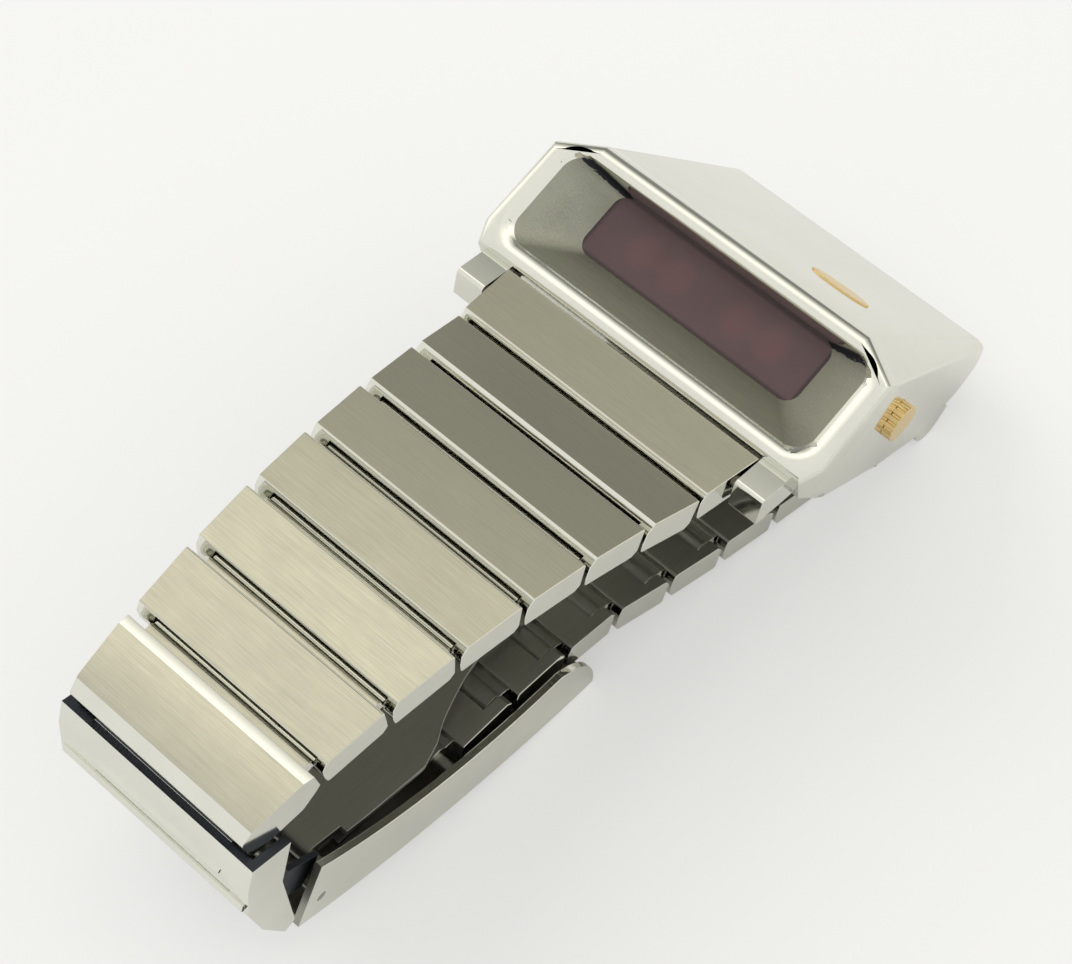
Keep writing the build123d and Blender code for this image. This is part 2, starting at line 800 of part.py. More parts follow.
def end_cap(cap_pin_place):
    """The curved end piece with its lip, side walls, tongue and the plates behind the end bar."""
    shell = prism(outline(sharp(cap_outside + cap_side_rear[::-1])), cap_half_width)
    shift = cap_wall
    inside = [(along + shift, up) for along, up in cap_outside]
    behind = [(along + overrun + shift, up) for along, up in cap_side_rear[::-1]]
    inside[0] = (inside[0][0], inside[0][1] + overrun)
    behind[-1] = (behind[-1][0], behind[-1][1] + overrun)
    shell -= prism(outline(sharp(inside + behind)), cap_half_width - cap_wall)
    plates = prism(outline(sharp(cap_plate)), cap_plate_inside + cap_plate_thickness)
    plates -= prism(outline(sharp(cap_plate)), cap_plate_inside)
    plates -= disc(leaf_pin_radius + saddle_clearance, cap_half_width, end_bar)
    root = (cap_outside[1][0] + cap_wall / 2, cap_outside[1][1] - cap_wall)
    reach = Vector(root[0] - cap_pin_place[0], root[1] - cap_pin_place[1])
    turn = math.degrees(math.atan2(reach.Y, reach.X))
    half_width = cap_pocket_half_width - pocket_clearance
    neck = block((0, -tongue_half_height, -half_width), (reach.length, tongue_half_height, half_width))
    neck = Pos(*cap_pin_place) * Rot(0, 0, turn) * neck
    web = block(
        (cap_outside[1][0] + cap_wall / 2, cap_plate[0][1] - 2 * cap_wall, -cap_half_width + cap_wall / 2),
        (cap_outside[1][0] + 2 * cap_wall, cap_plate[0][1] - cap_wall, cap_half_width - cap_wall / 2),
    )
    cap = shell + plates + neck + web + disc(tongue_radius, half_width, cap_pin_place)
    cap -= disc(pin_radius + running_clearance, cap_half_width, cap_pin_place)
    return in_clasp(cap)


def front_lugs(inner):
    """The two square lugs that the front end link hangs between, sunk into the case behind them."""
    corners = [
        (-front_lug_back, front_lug_top, front_lug_round),
        (front_lug_ahead, front_lug_top, front_lug_round),
        (front_lug_ahead, -front_lug_under, front_lug_round),
        (-front_lug_back, -front_lug_under, front_lug_round),
    ]
    lugs = link_frame(front_hinge, front_droops[0], 1) * prism(outline(corners), inner + front_lug_width)
    return lugs - on_side(disc(case_depth, inner, front_hinge))


def rear_lugs(inner):
    """The two round lugs at the rear, joined to the case above them."""
    across, up = rear_hinge
    roots = [
        (across - rear_lug_radius, up + rear_lug_radius),
        (across + rear_lug_radius, up + rear_lug_radius),
        (across + rear_lug_radius, up),
        (across - rear_lug_radius, up),
    ]
    lugs = disc(rear_lug_radius, inner + rear_lug_width, rear_hinge)
    lugs += prism(outline(sharp(roots)), inner + rear_lug_width)
    return on_side(lugs - disc(case_depth, inner, rear_hinge))


def build():
    """Makes every piece in its place in the case's frame."""
    pieces = {}
    body, tail = case_body()
    body = facets(body, tail)
    spring_home, button_room = button_pieces()[1:]
    lug_inside = bracelet_half_width + side_clearance
    shell = behind_rim(body, rim_thickness) + front_lugs(lug_inside) + rear_lugs(lug_inside)
    bezel = front_bezel(body)
    shell -= front_of(body, rim_thickness)
    tube = on_rim(tunnel(tunnel_wall + seat_clearance))
    frame_grow = lens_margin + tunnel_wall + seat_clearance
    back_room = lens_box(frame_grow, tunnel_depth - tunnel_wall, frame_back - tunnel_depth + case_wall)
    shell = shell - tube - back_room - hollow() - button_room
    notch = link_top + side_clearance
    rear_room = disc(tongue_radius + notch, lug_inside, rear_hinge)
    rear_room += block(
        (rear_hinge[0] - overrun - pitch, rear_hinge[1] - case_depth, -lug_inside),
        (rear_hinge[0] + notch, rear_hinge[1], lug_inside),
    )
    shell -= on_side(rear_room)
    bar_reach = bracelet_half_width + side_clearance + lug_thickness + running_clearance
    for hinge in (front_hinge, rear_hinge):
        shell -= on_side(disc(pin_radius + running_clearance, bar_reach, hinge))
    for across, row in screw_places():
        shell -= Pos(across, row, -case_depth) * Cylinder(screw_radius + seat_clearance, 2 * screw_length)
    shell -= inlay(seat_clearance, overrun)
    pieces["case_shell"] = shell
    pieces["front_bezel"] = bezel
    lens, gasket, module, digits = display_pieces()
    pieces["display_lens"] = lens
    pieces["lens_gasket"] = gasket
    pieces["led_module"] = module
    pieces["led_digits"] = digits
    board, chip, crystal, cells, carrier = works_pieces()
    pieces["circuit_board"] = board
    pieces["timing_chip"] = chip
    pieces["quartz_crystal"] = crystal
    pieces["battery_cells"] = cells
    pieces["battery_carrier"] = carrier
    back, seal, screws = caseback_pieces()
    pieces["caseback"] = back
    pieces["caseback_seal"] = seal
    pieces["caseback_screws"] = screws
    pieces["time_button"] = button_pieces()[0]
    pieces["button_spring"] = spring_home
    pieces["top_inlay"] = inlay(0, inlay_proud)
    for index, droop in enumerate(front_droops[:-1]):
        frame = link_frame(front_places[index], droop, 1)
        step = end_pitch if index == 0 else pitch
        name = "front_end_link" if index == 0 else f"front_link_{index}"
        link, pin = link_pieces(frame, step, front_half(index), front_half(index + 1), index == 0)
        pieces[name] = link
        pieces[f"{name}_pin"] = pin
    last = front_count - 1
    frame = link_frame(front_places[last], front_droops[last], 1)
    link, pin, bar = last_link_pieces(frame, front_half(last))
    pieces[f"front_link_{last}"] = link
    pieces[f"front_link_{last}_pin"] = pin
    pieces["end_cap_bar"] = bar
    for index, droop in enumerate(rear_droops):
        frame = link_frame(rear_places[index], droop, -1)
        step = end_pitch if index == 0 else pitch
        name = "rear_end_link" if index == 0 else f"rear_link_{index}"
        link, pin = link_pieces(frame, step, rear_half(index), rear_half(index + 1), index == 0)
        pieces[name] = link
        pieces[f"{name}_pin"] = pin
    pieces["clasp_cover"] = in_clasp(clasp_cover())
    pieces["adjust_bar"] = in_clasp(disc(pin_radius, adjust_reach - seat_clearance))
    outer, inner, cover_pin, leaf_pin, bar = clasp_leaves()
    pieces["clasp_outer_leaf"] = outer
    pieces["clasp_inner_leaf"] = inner
    pieces["cover_hinge_pin"] = cover_pin
    pieces["leaf_hinge_pin"] = leaf_pin
    pieces["clasp_end_bar"] = bar
    pieces["clasp_end_cap"] = end_cap(cap_pin_in_clasp())
    return pieces


def cap_pin_place():
    """The end cap's hinge in the case's side view."""
    hinge, droop = front_places[front_count - 1], front_droops[-1]
    along = droop_vector(droop, 1)
    outward = (along[1], -along[0])
    return tuple(hinge[i] + cap_hinge[0] * along[i] + cap_hinge[1] * outward[i] for i in (0, 1))


def cap_pin_in_clasp():
    """The same hinge in the clasp's side view."""
    reach = [here - start for here, start in zip(cap_pin_place(), clasp_place)]
    turned = math.radians(clasp_lean)
    forward = reach[0] * math.cos(turned) + reach[1] * math.sin(turned)
    return (forward, reach[1] * math.cos(turned) - reach[0] * math.sin(turned))


def from_clasp(place):
    """A place in the clasp's side view, in the case's side view."""
    turned = math.radians(clasp_lean)
    return (
        clasp_place[0] + place[0] * math.cos(turned) - place[1] * math.sin(turned),
        clasp_place[1] + place[0] * math.sin(turned) + place[1] * math.cos(turned),
    )


def report_joints(shift):
    """Prints the hinge places in the finished frame, along and up."""
    turned = math.radians(case_lean)
    places = [(f"front_{i}", place) for i, place in enumerate(front_places[:-1])]
    places.append(("end_cap", cap_pin_place()))
    places += [(f"rear_{i}", place) for i, place in enumerate(rear_places)]
    places += [("cover_leaf", from_clasp(cover_hinge)), ("leaf_leaf", from_clasp(leaf_hinge))]
    places += [("button", (button_place[0], -button_place[1])), ("origin", (0, 0))]
    for name, (y, z) in places:
        along = y * math.cos(turned) + z * math.sin(turned) + shift.Y
        up = z * math.cos(turned) - y * math.sin(turned) + shift.Z
        print(f"JOINT {name} {along:.4f} {up:.4f}")


def main():
    """Leans the watch back, stands it on the surface and writes every piece."""
    os.makedirs("parts", exist_ok=True)
    lean = Location((0, 0, 0), (-case_lean, 0, 0))
    leaned = {name: lean * solid for name, solid in build().items()}
    boxes = [solid.bounding_box() for solid in leaned.values()]
    low = [min(getattr(box.min, axis) for box in boxes) for axis in ("X", "Y", "Z")]
    high = [max(getattr(box.max, axis) for box in boxes) for axis in ("X", "Y", "Z")]
    shift = Vector(-(low[0] + high[0]) / 2, -(low[1] + high[1]) / 2, -low[2])
    print("SIZE", [round(top - bottom, 3) for bottom, top in zip(low, high)], "SHIFT", shift)
    report_joints(shift)
    for name, solid in leaned.items():
        export_step(Pos(*shift) * solid, f"parts/{name}.step")
    print("NODES", len(leaned))


main()
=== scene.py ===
"""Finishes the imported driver's watch: polished and brushed steel, a dark red window and a gilt button."""

import json
import math

import bmesh
import bpy
from bpy.props import FloatProperty, FloatVectorProperty, PointerProperty
from mathutils import Matrix, Vector

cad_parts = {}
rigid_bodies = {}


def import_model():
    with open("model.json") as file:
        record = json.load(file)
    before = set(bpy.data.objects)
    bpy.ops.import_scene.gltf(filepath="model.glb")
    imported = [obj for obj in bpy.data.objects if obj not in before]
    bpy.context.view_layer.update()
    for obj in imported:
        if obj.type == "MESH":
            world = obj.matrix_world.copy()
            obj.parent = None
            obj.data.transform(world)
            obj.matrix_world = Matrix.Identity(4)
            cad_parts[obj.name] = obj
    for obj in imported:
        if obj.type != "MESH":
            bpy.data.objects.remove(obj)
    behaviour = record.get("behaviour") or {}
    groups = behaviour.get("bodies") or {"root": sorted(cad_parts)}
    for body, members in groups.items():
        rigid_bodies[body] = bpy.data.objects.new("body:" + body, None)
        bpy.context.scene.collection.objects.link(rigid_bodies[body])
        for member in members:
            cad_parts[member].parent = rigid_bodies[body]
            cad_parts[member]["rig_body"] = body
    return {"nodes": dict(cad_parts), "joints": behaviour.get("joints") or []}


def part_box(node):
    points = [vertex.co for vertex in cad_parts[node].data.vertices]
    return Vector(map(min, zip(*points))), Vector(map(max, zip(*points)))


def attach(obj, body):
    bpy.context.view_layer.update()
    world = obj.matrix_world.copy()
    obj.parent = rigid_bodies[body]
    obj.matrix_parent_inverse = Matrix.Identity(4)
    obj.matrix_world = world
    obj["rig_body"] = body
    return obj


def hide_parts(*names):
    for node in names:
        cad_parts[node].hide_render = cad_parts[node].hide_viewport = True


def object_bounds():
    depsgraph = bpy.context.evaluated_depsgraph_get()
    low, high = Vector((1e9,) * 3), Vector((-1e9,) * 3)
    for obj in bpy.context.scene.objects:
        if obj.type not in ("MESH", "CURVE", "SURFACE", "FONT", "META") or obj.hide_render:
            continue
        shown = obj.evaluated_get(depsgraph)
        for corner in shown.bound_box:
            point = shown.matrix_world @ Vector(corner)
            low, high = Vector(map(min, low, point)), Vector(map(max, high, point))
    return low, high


bl_info = {
    "name": "Driver's Watch Finish",
    "version": (1, 0, 0),
    "blender": (4, 5, 0),
    "location": "3D View > Sidebar > Watch",
    "description": "Gives a packed bracelet watch its steel, window, button and studio",
    "category": "Object",
}

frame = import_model()
cad_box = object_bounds()
nodes = frame["nodes"]
joint_places = {joint["name"]: Vector(joint["pos_m"]) for joint in frame["joints"] if "pos_m" in joint}

MM = 0.001
CASE_LEAN = math.radians(39.2)
RIM_LEAN = math.radians(60.5)
FRONT_HINGE = Vector((0, -5.03, -10.85)) * MM
FRONT_LINKS = ["front_end_link"] + [f"front_link_{number}" for number in range(1, 8)]
REAR_LINKS = ["rear_end_link"] + [f"rear_link_{number}" for number in range(1, 9)]

LEAN_BACK = Matrix.Rotation(-CASE_LEAN, 4, "X")
low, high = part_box("case_shell")
case_origin = joint_places["front_end_link_hinge"] - LEAN_BACK @ FRONT_HINGE
case_origin.x = (low.x + high.x) / 2
CASE_TO_ROW = Matrix.Translation(case_origin) @ LEAN_BACK
RIM_TO_ROW = CASE_TO_ROW @ Matrix.Rotation(RIM_LEAN, 4, "X")

# Sizes of the display in the rim's frame, as in the part's source
VIEW_HALF_WIDTH, VIEW_TOP, VIEW_BOTTOM = 10.3 * MM, 0.78 * MM, 4.82 * MM
TUNNEL_DEPTH, LENS_THICKNESS, GASKET_THICKNESS, DIGIT_RELIEF = 3.4 * MM, 0.9 * MM, 0.35 * MM, 0.25 * MM
DIGIT_PLACES = (-5.96 * MM, -2.75 * MM, 3.01 * MM, 6.23 * MM)
DIGIT_LINE = -2.0 * MM
DIGIT_HEIGHT, DIGIT_WIDTH, STROKE = 2.8 * MM, 1.5 * MM, 0.28 * MM
# Width of the painted shade along the window's border
SHADED_BORDER_WIDTH = 0.42 * MM
# Reach of the painted glow on the window round each figure
PAINTED_GLOW_REACH = 2.5 * MM

# The line between the window's outline and the rim's, in the rim's frame
WINDOW_SIDE, WINDOW_HEAD, WINDOW_FOOT, WINDOW_MIDDLE = 14.78 * MM, 0.68 * MM, -8.38 * MM, -3.8 * MM
RIM_FLATNESS = 0.02 * MM

# What lies further in than this, or is shorter or flatter, isn't one of the case's long outer edges
CASE_INSIDE, TOP_INSIDE, SHORT_EDGE, FLAT_TURN = 12.3 * MM, -3.5 * MM, 5 * MM, math.radians(8)

# How far in the end cap's lip and ends, and the cover's side walls, are polished
CAP_LIP, CAP_END, COVER_WALL = 1.2 * MM, 0.3 * MM, 0.55 * MM

LAMP_PLACE, LAMP_AIM = Vector((-0.72, -0.28, 0.80)), Vector((0, 0, 0.01))


class WatchFinish(bpy.types.PropertyGroup):
    """Sizes and colours of the watch's own surfaces."""

    edge_round: FloatProperty(
        name="Edge Round", description="Width of the polished break on the edges",
        default=0.00009, min=0.0, unit="LENGTH")
    case_round: FloatProperty(
        name="Case Round", description="Radius along the long edges of the case",
        default=0.0003, min=0.0, unit="LENGTH")
    rim_round: FloatProperty(
        name="Rim Round", description="Radius of the rim's outer edge",
        default=0.00065, min=0.0, unit="LENGTH")
    rim_inner_round: FloatProperty(
        name="Rim Inner Round", description="Radius of the rim's inner edge",
        default=0.00045, min=0.0, unit="LENGTH")
    rim_weld: FloatProperty(
        name="Rim Weld", description="Longest sliver closed at the rim's corners before its rounding",
        default=0.00005, min=0.0, unit="LENGTH")
    link_edge_round: FloatProperty(
        name="Link Edge Round", description="Width of the break on the bracelet's edges",
        default=0.00007, min=0.0, unit="LENGTH")
    grain_length: FloatProperty(
        name="Grain Length", description="Length of one brushed stroke",
        default=0.0035, min=0.0001, unit="LENGTH")
    grain_width: FloatProperty(
        name="Grain Width", description="Width of one brushed stroke",
        default=0.00006, min=0.00001, unit="LENGTH")
    polished_colour: FloatVectorProperty(
        name="Polished Steel", description="Colour of the polished steel",
        subtype="COLOR", size=4, default=(0.79, 0.79, 0.725, 1), min=0, max=1)
    brushed_colour: FloatVectorProperty(
        name="Brushed Steel", description="Colour of the brushed link tops",
        subtype="COLOR", size=4, default=(0.63, 0.605, 0.485, 1), min=0, max=1)
    satin_colour: FloatVectorProperty(
        name="Satin Steel", description="Colour of the undersides, leaves and pins",
        subtype="COLOR", size=4, default=(0.40, 0.395, 0.35, 1), min=0, max=1)
    tunnel_colour: FloatVectorProperty(
        name="Tunnel", description="Colour of the brushed tunnel round the window",
        subtype="COLOR", size=4, default=(0.44, 0.44, 0.37, 1), min=0, max=1)
    lens_colour: FloatVectorProperty(
        name="Window", description="Colour of the dark red window",
        subtype="COLOR", size=4, default=(0.155, 0.095, 0.10, 1), min=0, max=1)
    # Painted shade: how bright the window's border stays against its middle
    border_painted_shade: FloatProperty(
        name="Window Border Shade", description="Brightness of the window's border against its middle",
        default=0.45, min=0.0, max=1.0, subtype="FACTOR")
    # Painted glow: emission on the window round each figure, standing in for the figures' light
    painted_glow_strength: FloatProperty(
        name="Figure Painted Glow", description="Strength of the figures' soft light in the window",
        default=0.022, min=0.0)
    glow_colour: FloatVectorProperty(
        name="Digits", description="Colour of the digits behind the window",
        subtype="COLOR", size=4, default=(0.85, 0.12, 0.10, 1), min=0, max=1)
    gilt_colour: FloatVectorProperty(
        name="Gilt", description="Colour of the gilt button and inlay",
        subtype="COLOR", size=4, default=(0.78, 0.58, 0.27, 1), min=0, max=1)


class WatchStudio(bpy.types.PropertyGroup):
    """The floor, the lamps and the camera."""

    floor_colour: FloatVectorProperty(
        name="Floor", description="Colour of the table that the watch lies on",
        subtype="COLOR", size=4, default=(0.78, 0.78, 0.78, 1), min=0, max=1)
    floor_size: FloatProperty(
        name="Floor Size", description="Side of the table", default=3.0, min=0.1, unit="LENGTH")
    key_power: FloatProperty(
        name="Key Lamp", description="Power of the large soft lamp", default=3.2, min=0, unit="POWER")
    key_size: FloatProperty(
        name="Key Size", description="Side of the large soft lamp", default=0.7, min=0.01, unit="LENGTH")
    sky_strength: FloatProperty(
        name="Studio Light", description="Strength of the light from all round", default=1.0, min=0)
    focal_length: FloatProperty(
        name="Focal Length", description="Focal length on a frame 36 mm wide", default=86.71, min=10)
    camera_place: FloatVectorProperty(
        name="Camera Place", description="Camera place in the case's own frame",
        subtype="TRANSLATION", size=3, default=(0.059936, -0.171536, 0.047558))
    camera_right: FloatVectorProperty(
        name="Camera Right", description="Direction to the picture's right in the case's own frame",
        subtype="DIRECTION", size=3, default=(0.74237, 0.46869, 0.47876))
    camera_down: FloatVectorProperty(
        name="Camera Down", description="Direction to the picture's foot in the case's own frame",
        subtype="DIRECTION", size=3, default=(0.58719, -0.11103, -0.80180))


def new_node(tree, kind, **settings):
    """A node with its settings."""
    node = tree.nodes.new(kind)
    for name, value in settings.items():
        setattr(node, name, value)
    return node


def set_inputs(node, **values):
    """Sets a node's sockets, named with _ for a space."""
    for name, value in values.items():
        node.inputs[name.replace("_", " ")].default_value = value
    return node


def new_group(name, inputs, outputs):
    """An empty shader group with its sockets; each socket is (name, kind, default)."""
    group = bpy.data.node_groups.new(name, "ShaderNodeTree")
    for socket_name, kind, value in inputs:
        socket = group.interface.new_socket(name=socket_name, in_out="INPUT", socket_type=kind)
        socket.default_value = value
    for socket_name, kind in outputs:
        group.interface.new_socket(name=socket_name, in_out="OUTPUT", socket_type=kind)
    return group, group.nodes.new("NodeGroupInput"), group.nodes.new("NodeGroupOutput")


def brushing_group():
    """Fine parallel strokes: a tone from 0 to 1, and the normal that they give."""
    if "brushing" in bpy.data.node_groups:
        return bpy.data.node_groups["brushing"]
    group, given, out = new_group(
        "brushing",
        [
            ("Strokes per Metre", "NodeSocketVector", (300, 15000, 15000)),
            ("Unevenness", "NodeSocketFloat", 0.2),
        ],
        [("Tone", "NodeSocketFloat"), ("Normal", "NodeSocketVector")])
    place = new_node(group, "ShaderNodeTexCoord")
    stretch = new_node(group, "ShaderNodeVectorMath", operation="MULTIPLY")
    strokes = set_inputs(new_node(group, "ShaderNodeTexNoise"), Scale=1.0, Detail=3.0, Roughness=0.65)
    broad = set_inputs(new_node(group, "ShaderNodeTexNoise"), Scale=420.0, Detail=2.0, Roughness=0.5)
    unevenness, fine, coarse, tone = mix_sockets(group, "FLOAT")
    bump = set_inputs(new_node(group, "ShaderNodeBump"), Strength=0.18, Distance=0.00002)
    group.links.new(place.outputs["Object"], stretch.inputs[0])
    group.links.new(given.outputs["Strokes per Metre"], stretch.inputs[1])
    group.links.new(stretch.outputs["Vector"], strokes.inputs["Vector"])
    group.links.new(place.outputs["Object"], broad.inputs["Vector"])
    group.links.new(given.outputs["Unevenness"], unevenness)
    group.links.new(strokes.outputs["Fac"], fine)
    group.links.new(broad.outputs["Fac"], coarse)
    group.links.new(strokes.outputs["Fac"], bump.inputs["Height"])
    group.links.new(tone, out.inputs["Tone"])
    group.links.new(bump.outputs["Normal"], out.inputs["Normal"])
    return group


def handling_group():
    """Faint smears and hairlines from wearing: a mask from 0 to 1."""
    if "handling_marks" in bpy.data.node_groups:
        return bpy.data.node_groups["handling_marks"]
    group, given, out = new_group(
        "handling_marks", [("Marks per Metre", "NodeSocketFloat", 260.0)],
        [("Smear", "NodeSocketFloat"), ("Hairline", "NodeSocketFloat")])
    place = new_node(group, "ShaderNodeTexCoord")
    smear = set_inputs(new_node(group, "ShaderNodeTexNoise"), Detail=4.0, Roughness=0.6)
    turned = new_node(group, "ShaderNodeMapping")
    turned.inputs["Rotation"].default_value = (0.4, 0.9, 0.6)
    turned.inputs["Scale"].default_value = (700, 14000, 9000)
    hairs = set_inputs(new_node(group, "ShaderNodeTexNoise"), Scale=1.0, Detail=1.0)
    thin = new_node(group, "ShaderNodeMapRange", clamp=True)
    set_inputs(thin, From_Min=0.68, From_Max=0.76)
    group.links.new(place.outputs["Object"], smear.inputs["Vector"])
    group.links.new(given.outputs["Marks per Metre"], smear.inputs["Scale"])
    group.links.new(place.outputs["Object"], turned.inputs["Vector"])
    group.links.new(turned.outputs["Vector"], hairs.inputs["Vector"])
    group.links.new(hairs.outputs["Fac"], thin.inputs["Value"])
    group.links.new(smear.outputs["Fac"], out.inputs["Smear"])
    group.links.new(thin.outputs["Result"], out.inputs["Hairline"])
    return group


def new_material(name):
    """A material with its Principled shader, ready for nodes."""
    material = bpy.data.materials.new(f"watch_{name}")
    material.use_nodes = True
    return material, material.node_tree, material.node_tree.nodes["Principled BSDF"]


def grouped(tree, group, **values):
    """A group's node placed in a material's tree with its own values."""
    node = new_node(tree, "ShaderNodeGroup", node_tree=group)
    return set_inputs(node, **values)


def ranged(tree, value, lowest, highest):
    """A 0 to 1 value spread between two others."""
    spread = new_node(tree, "ShaderNodeMapRange", clamp=True)
    set_inputs(spread, From_Min=0.25, From_Max=0.75, To_Min=lowest, To_Max=highest)
    tree.links.new(value, spread.inputs["Value"])
    return spread.outputs["Result"]


def mix_sockets(tree, kind):
    """A Mix node's sockets for floats or colours: factor, first, second and result."""
    mix = new_node(tree, "ShaderNodeMix", data_type=kind)
    ending = {"FLOAT": "Float", "RGBA": "Color"}[kind]
    found = {socket.identifier: socket for socket in (*mix.inputs, *mix.outputs)}
    return found["Factor_Float"], found[f"A_{ending}"], found[f"B_{ending}"], found[f"Result_{ending}"]


def tinted(tree, value, colour, dark_share):
    """A colour that goes down to a share of itself where the value is low."""
    factor, dark, full, result = mix_sockets(tree, "RGBA")
    dark.default_value = [channel * dark_share for channel in colour[:3]] + [1]
    full.default_value = colour
    tree.links.new(ranged(tree, value, 0.0, 1.0), factor)
    return result


def polished_metal(name, colour, smooth, worn):
    """Mirror metal with faint smears and hairlines."""
    material, tree, shader = new_material(name)
    set_inputs(shader, Metallic=1.0)
    marks = grouped(tree, handling_group())
    tree.links.new(tinted(tree, marks.outputs["Smear"], colour, 0.93), shader.inputs["Base Color"])
    tree.links.new(ranged(tree, marks.outputs["Smear"], smooth, worn), shader.inputs["Roughness"])
    bump = set_inputs(new_node(tree, "ShaderNodeBump"), Strength=0.12, Distance=0.00001)
    tree.links.new(marks.outputs["Hairline"], bump.inputs["Height"])
    tree.links.new(bump.outputs["Normal"], shader.inputs["Normal"])
    return material


def brushed_metal(name, colour, strokes, smooth, rough, dark_share):
    """Metal with fine parallel strokes."""
    material, tree, shader = new_material(name)
    set_inputs(shader, Metallic=1.0)
    grain = grouped(tree, brushing_group())
    grain.inputs["Strokes per Metre"].default_value = strokes
    tree.links.new(tinted(tree, grain.outputs["Tone"], colour, dark_share), shader.inputs["Base Color"])
    tree.links.new(ranged(tree, grain.outputs["Tone"], rough, smooth), shader.inputs["Roughness"])
    tree.links.new(grain.outputs["Normal"], shader.inputs["Normal"])
    return material


def plain_surface(name, colour, roughness, dark_share=0.85, metallic=0.0):
    """A quiet moulded, ceramic or plated surface with a slight mottle."""
    material, tree, shader = new_material(name)
    set_inputs(shader, Metallic=metallic)
    marks = grouped(tree, handling_group(), Marks_per_Metre=900.0)
    tree.links.new(tinted(tree, marks.outputs["Smear"], colour, dark_share), shader.inputs["Base Color"])
    tree.links.new(
        ranged(tree, marks.outputs["Smear"], roughness * 0.85, roughness * 1.1), shader.inputs["Roughness"])
    return material


def rounding_group():
    """A mask that is 1 on the rim's rounding and 0 behind it, in the tunnel."""
    if "rim_rounding" in bpy.data.node_groups:
        return bpy.data.node_groups["rim_rounding"]
    group, given, out = new_group(
        "rim_rounding", [("Depth", "NodeSocketFloat", 0.00045)], [("Rounding", "NodeSocketFloat")])
    place = new_node(group, "ShaderNodeTexCoord")
    offset = new_node(group, "ShaderNodeVectorMath", operation="SUBTRACT")
    offset.inputs[1].default_value = RIM_TO_ROW.translation
    behind = new_node(group, "ShaderNodeVectorMath", operation="DOT_PRODUCT")
    behind.inputs[1].default_value = -RIM_TO_ROW.to_3x3().col[2]
    before = new_node(group, "ShaderNodeMath", operation="LESS_THAN")
    group.links.new(place.outputs["Object"], offset.inputs[0])
    group.links.new(offset.outputs["Vector"], behind.inputs[0])
    group.links.new(behind.outputs["Value"], before.inputs[0])
    group.links.new(given.outputs["Depth"], before.inputs[1])
    group.links.new(before.outputs["Value"], out.inputs["Rounding"])
    return group


def view_group():
    """Masks on the display: how near its border a place is, for the painted shade there, and the painted
    glow round the four figures.
    """
    if "display_view" in bpy.data.node_groups:
        return bpy.data.node_groups["display_view"]
    group, _, out = new_group(
        "display_view", [], [("Border", "NodeSocketFloat"), ("Figures", "NodeSocketFloat")])
    place = new_node(group, "ShaderNodeTexCoord")
    middle = RIM_TO_ROW @ Vector((0, (VIEW_TOP - VIEW_BOTTOM) / 2, -TUNNEL_DEPTH))
    offset = new_node(group, "ShaderNodeVectorMath", operation="SUBTRACT")
    offset.inputs[1].default_value = middle
    group.links.new(place.outputs["Object"], offset.inputs[0])
    reaches = []
    for axis, half in ((0, VIEW_HALF_WIDTH), (1, (VIEW_TOP + VIEW_BOTTOM) / 2)):
        along = new_node(group, "ShaderNodeVectorMath", operation="DOT_PRODUCT")
        along.inputs[1].default_value = RIM_TO_ROW.to_3x3().col[axis]
        size = new_node(group, "ShaderNodeMath", operation="ABSOLUTE")
        beyond = new_node(group, "ShaderNodeMath", operation="SUBTRACT")
        beyond.inputs[1].default_value = half
        group.links.new(offset.outputs["Vector"], along.inputs[0])
        group.links.new(along.outputs["Value"], size.inputs[0])
        group.links.new(size.outputs["Value"], beyond.inputs[0])
        reaches.append(beyond)
    outermost = new_node(group, "ShaderNodeMath", operation="MAXIMUM")
    # Mask for the painted shade along the window's border
    border = set_inputs(
        new_node(group, "ShaderNodeMapRange", interpolation_type="SMOOTHSTEP"),
        From_Min=-SHADED_BORDER_WIDTH, From_Max=-SHADED_BORDER_WIDTH / 3)
    group.links.new(reaches[0].outputs["Value"], outermost.inputs[0])
    group.links.new(reaches[1].outputs["Value"], outermost.inputs[1])
    group.links.new(outermost.outputs["Value"], border.inputs["Value"])
    group.links.new(border.outputs["Result"], out.inputs["Border"])
    # Mask for the painted glow round the four figures
    total = None
    for figure in DIGIT_PLACES:
        apart = new_node(group, "ShaderNodeVectorMath", operation="DISTANCE")
        apart.inputs[1].default_value = RIM_TO_ROW @ Vector((figure, DIGIT_LINE, -TUNNEL_DEPTH))
        soft = set_inputs(
            new_node(group, "ShaderNodeMapRange", interpolation_type="SMOOTHSTEP"),
            From_Min=PAINTED_GLOW_REACH, From_Max=0.0)
        group.links.new(place.outputs["Object"], apart.inputs[0])
        group.links.new(apart.outputs["Value"], soft.inputs["Value"])
        if total is None:
            total = soft.outputs["Result"]
            continue
        added = new_node(group, "ShaderNodeMath", operation="ADD")
        group.links.new(total, added.inputs[0])
        group.links.new(soft.outputs["Result"], added.inputs[1])
        total = added.outputs["Value"]
    group.links.new(total, out.inputs["Figures"])
    return group


def tunnel_metal(finish, strokes):
    """Brushed steel that turns into mirror steel on the rim's rounding."""
    material = brushed_metal("tunnel_brushed", finish.tunnel_colour, strokes, 0.42, 0.6, 0.62)
    tree = material.node_tree
    shader = tree.nodes["Principled BSDF"]
    mask = grouped(tree, rounding_group(), Depth=finish.rim_inner_round)
    changed = (("RGBA", "Base Color", finish.polished_colour), ("FLOAT", "Roughness", 0.08))
    for kind, socket, polished in changed:
        factor, brushed, mirror, result = mix_sockets(tree, kind)
        mirror.default_value = polished
        tree.links.new(mask.outputs["Rounding"], factor)
        tree.links.new(shader.inputs[socket].links[0].from_socket, brushed)
        tree.links.new(result, shader.inputs[socket])
    return material


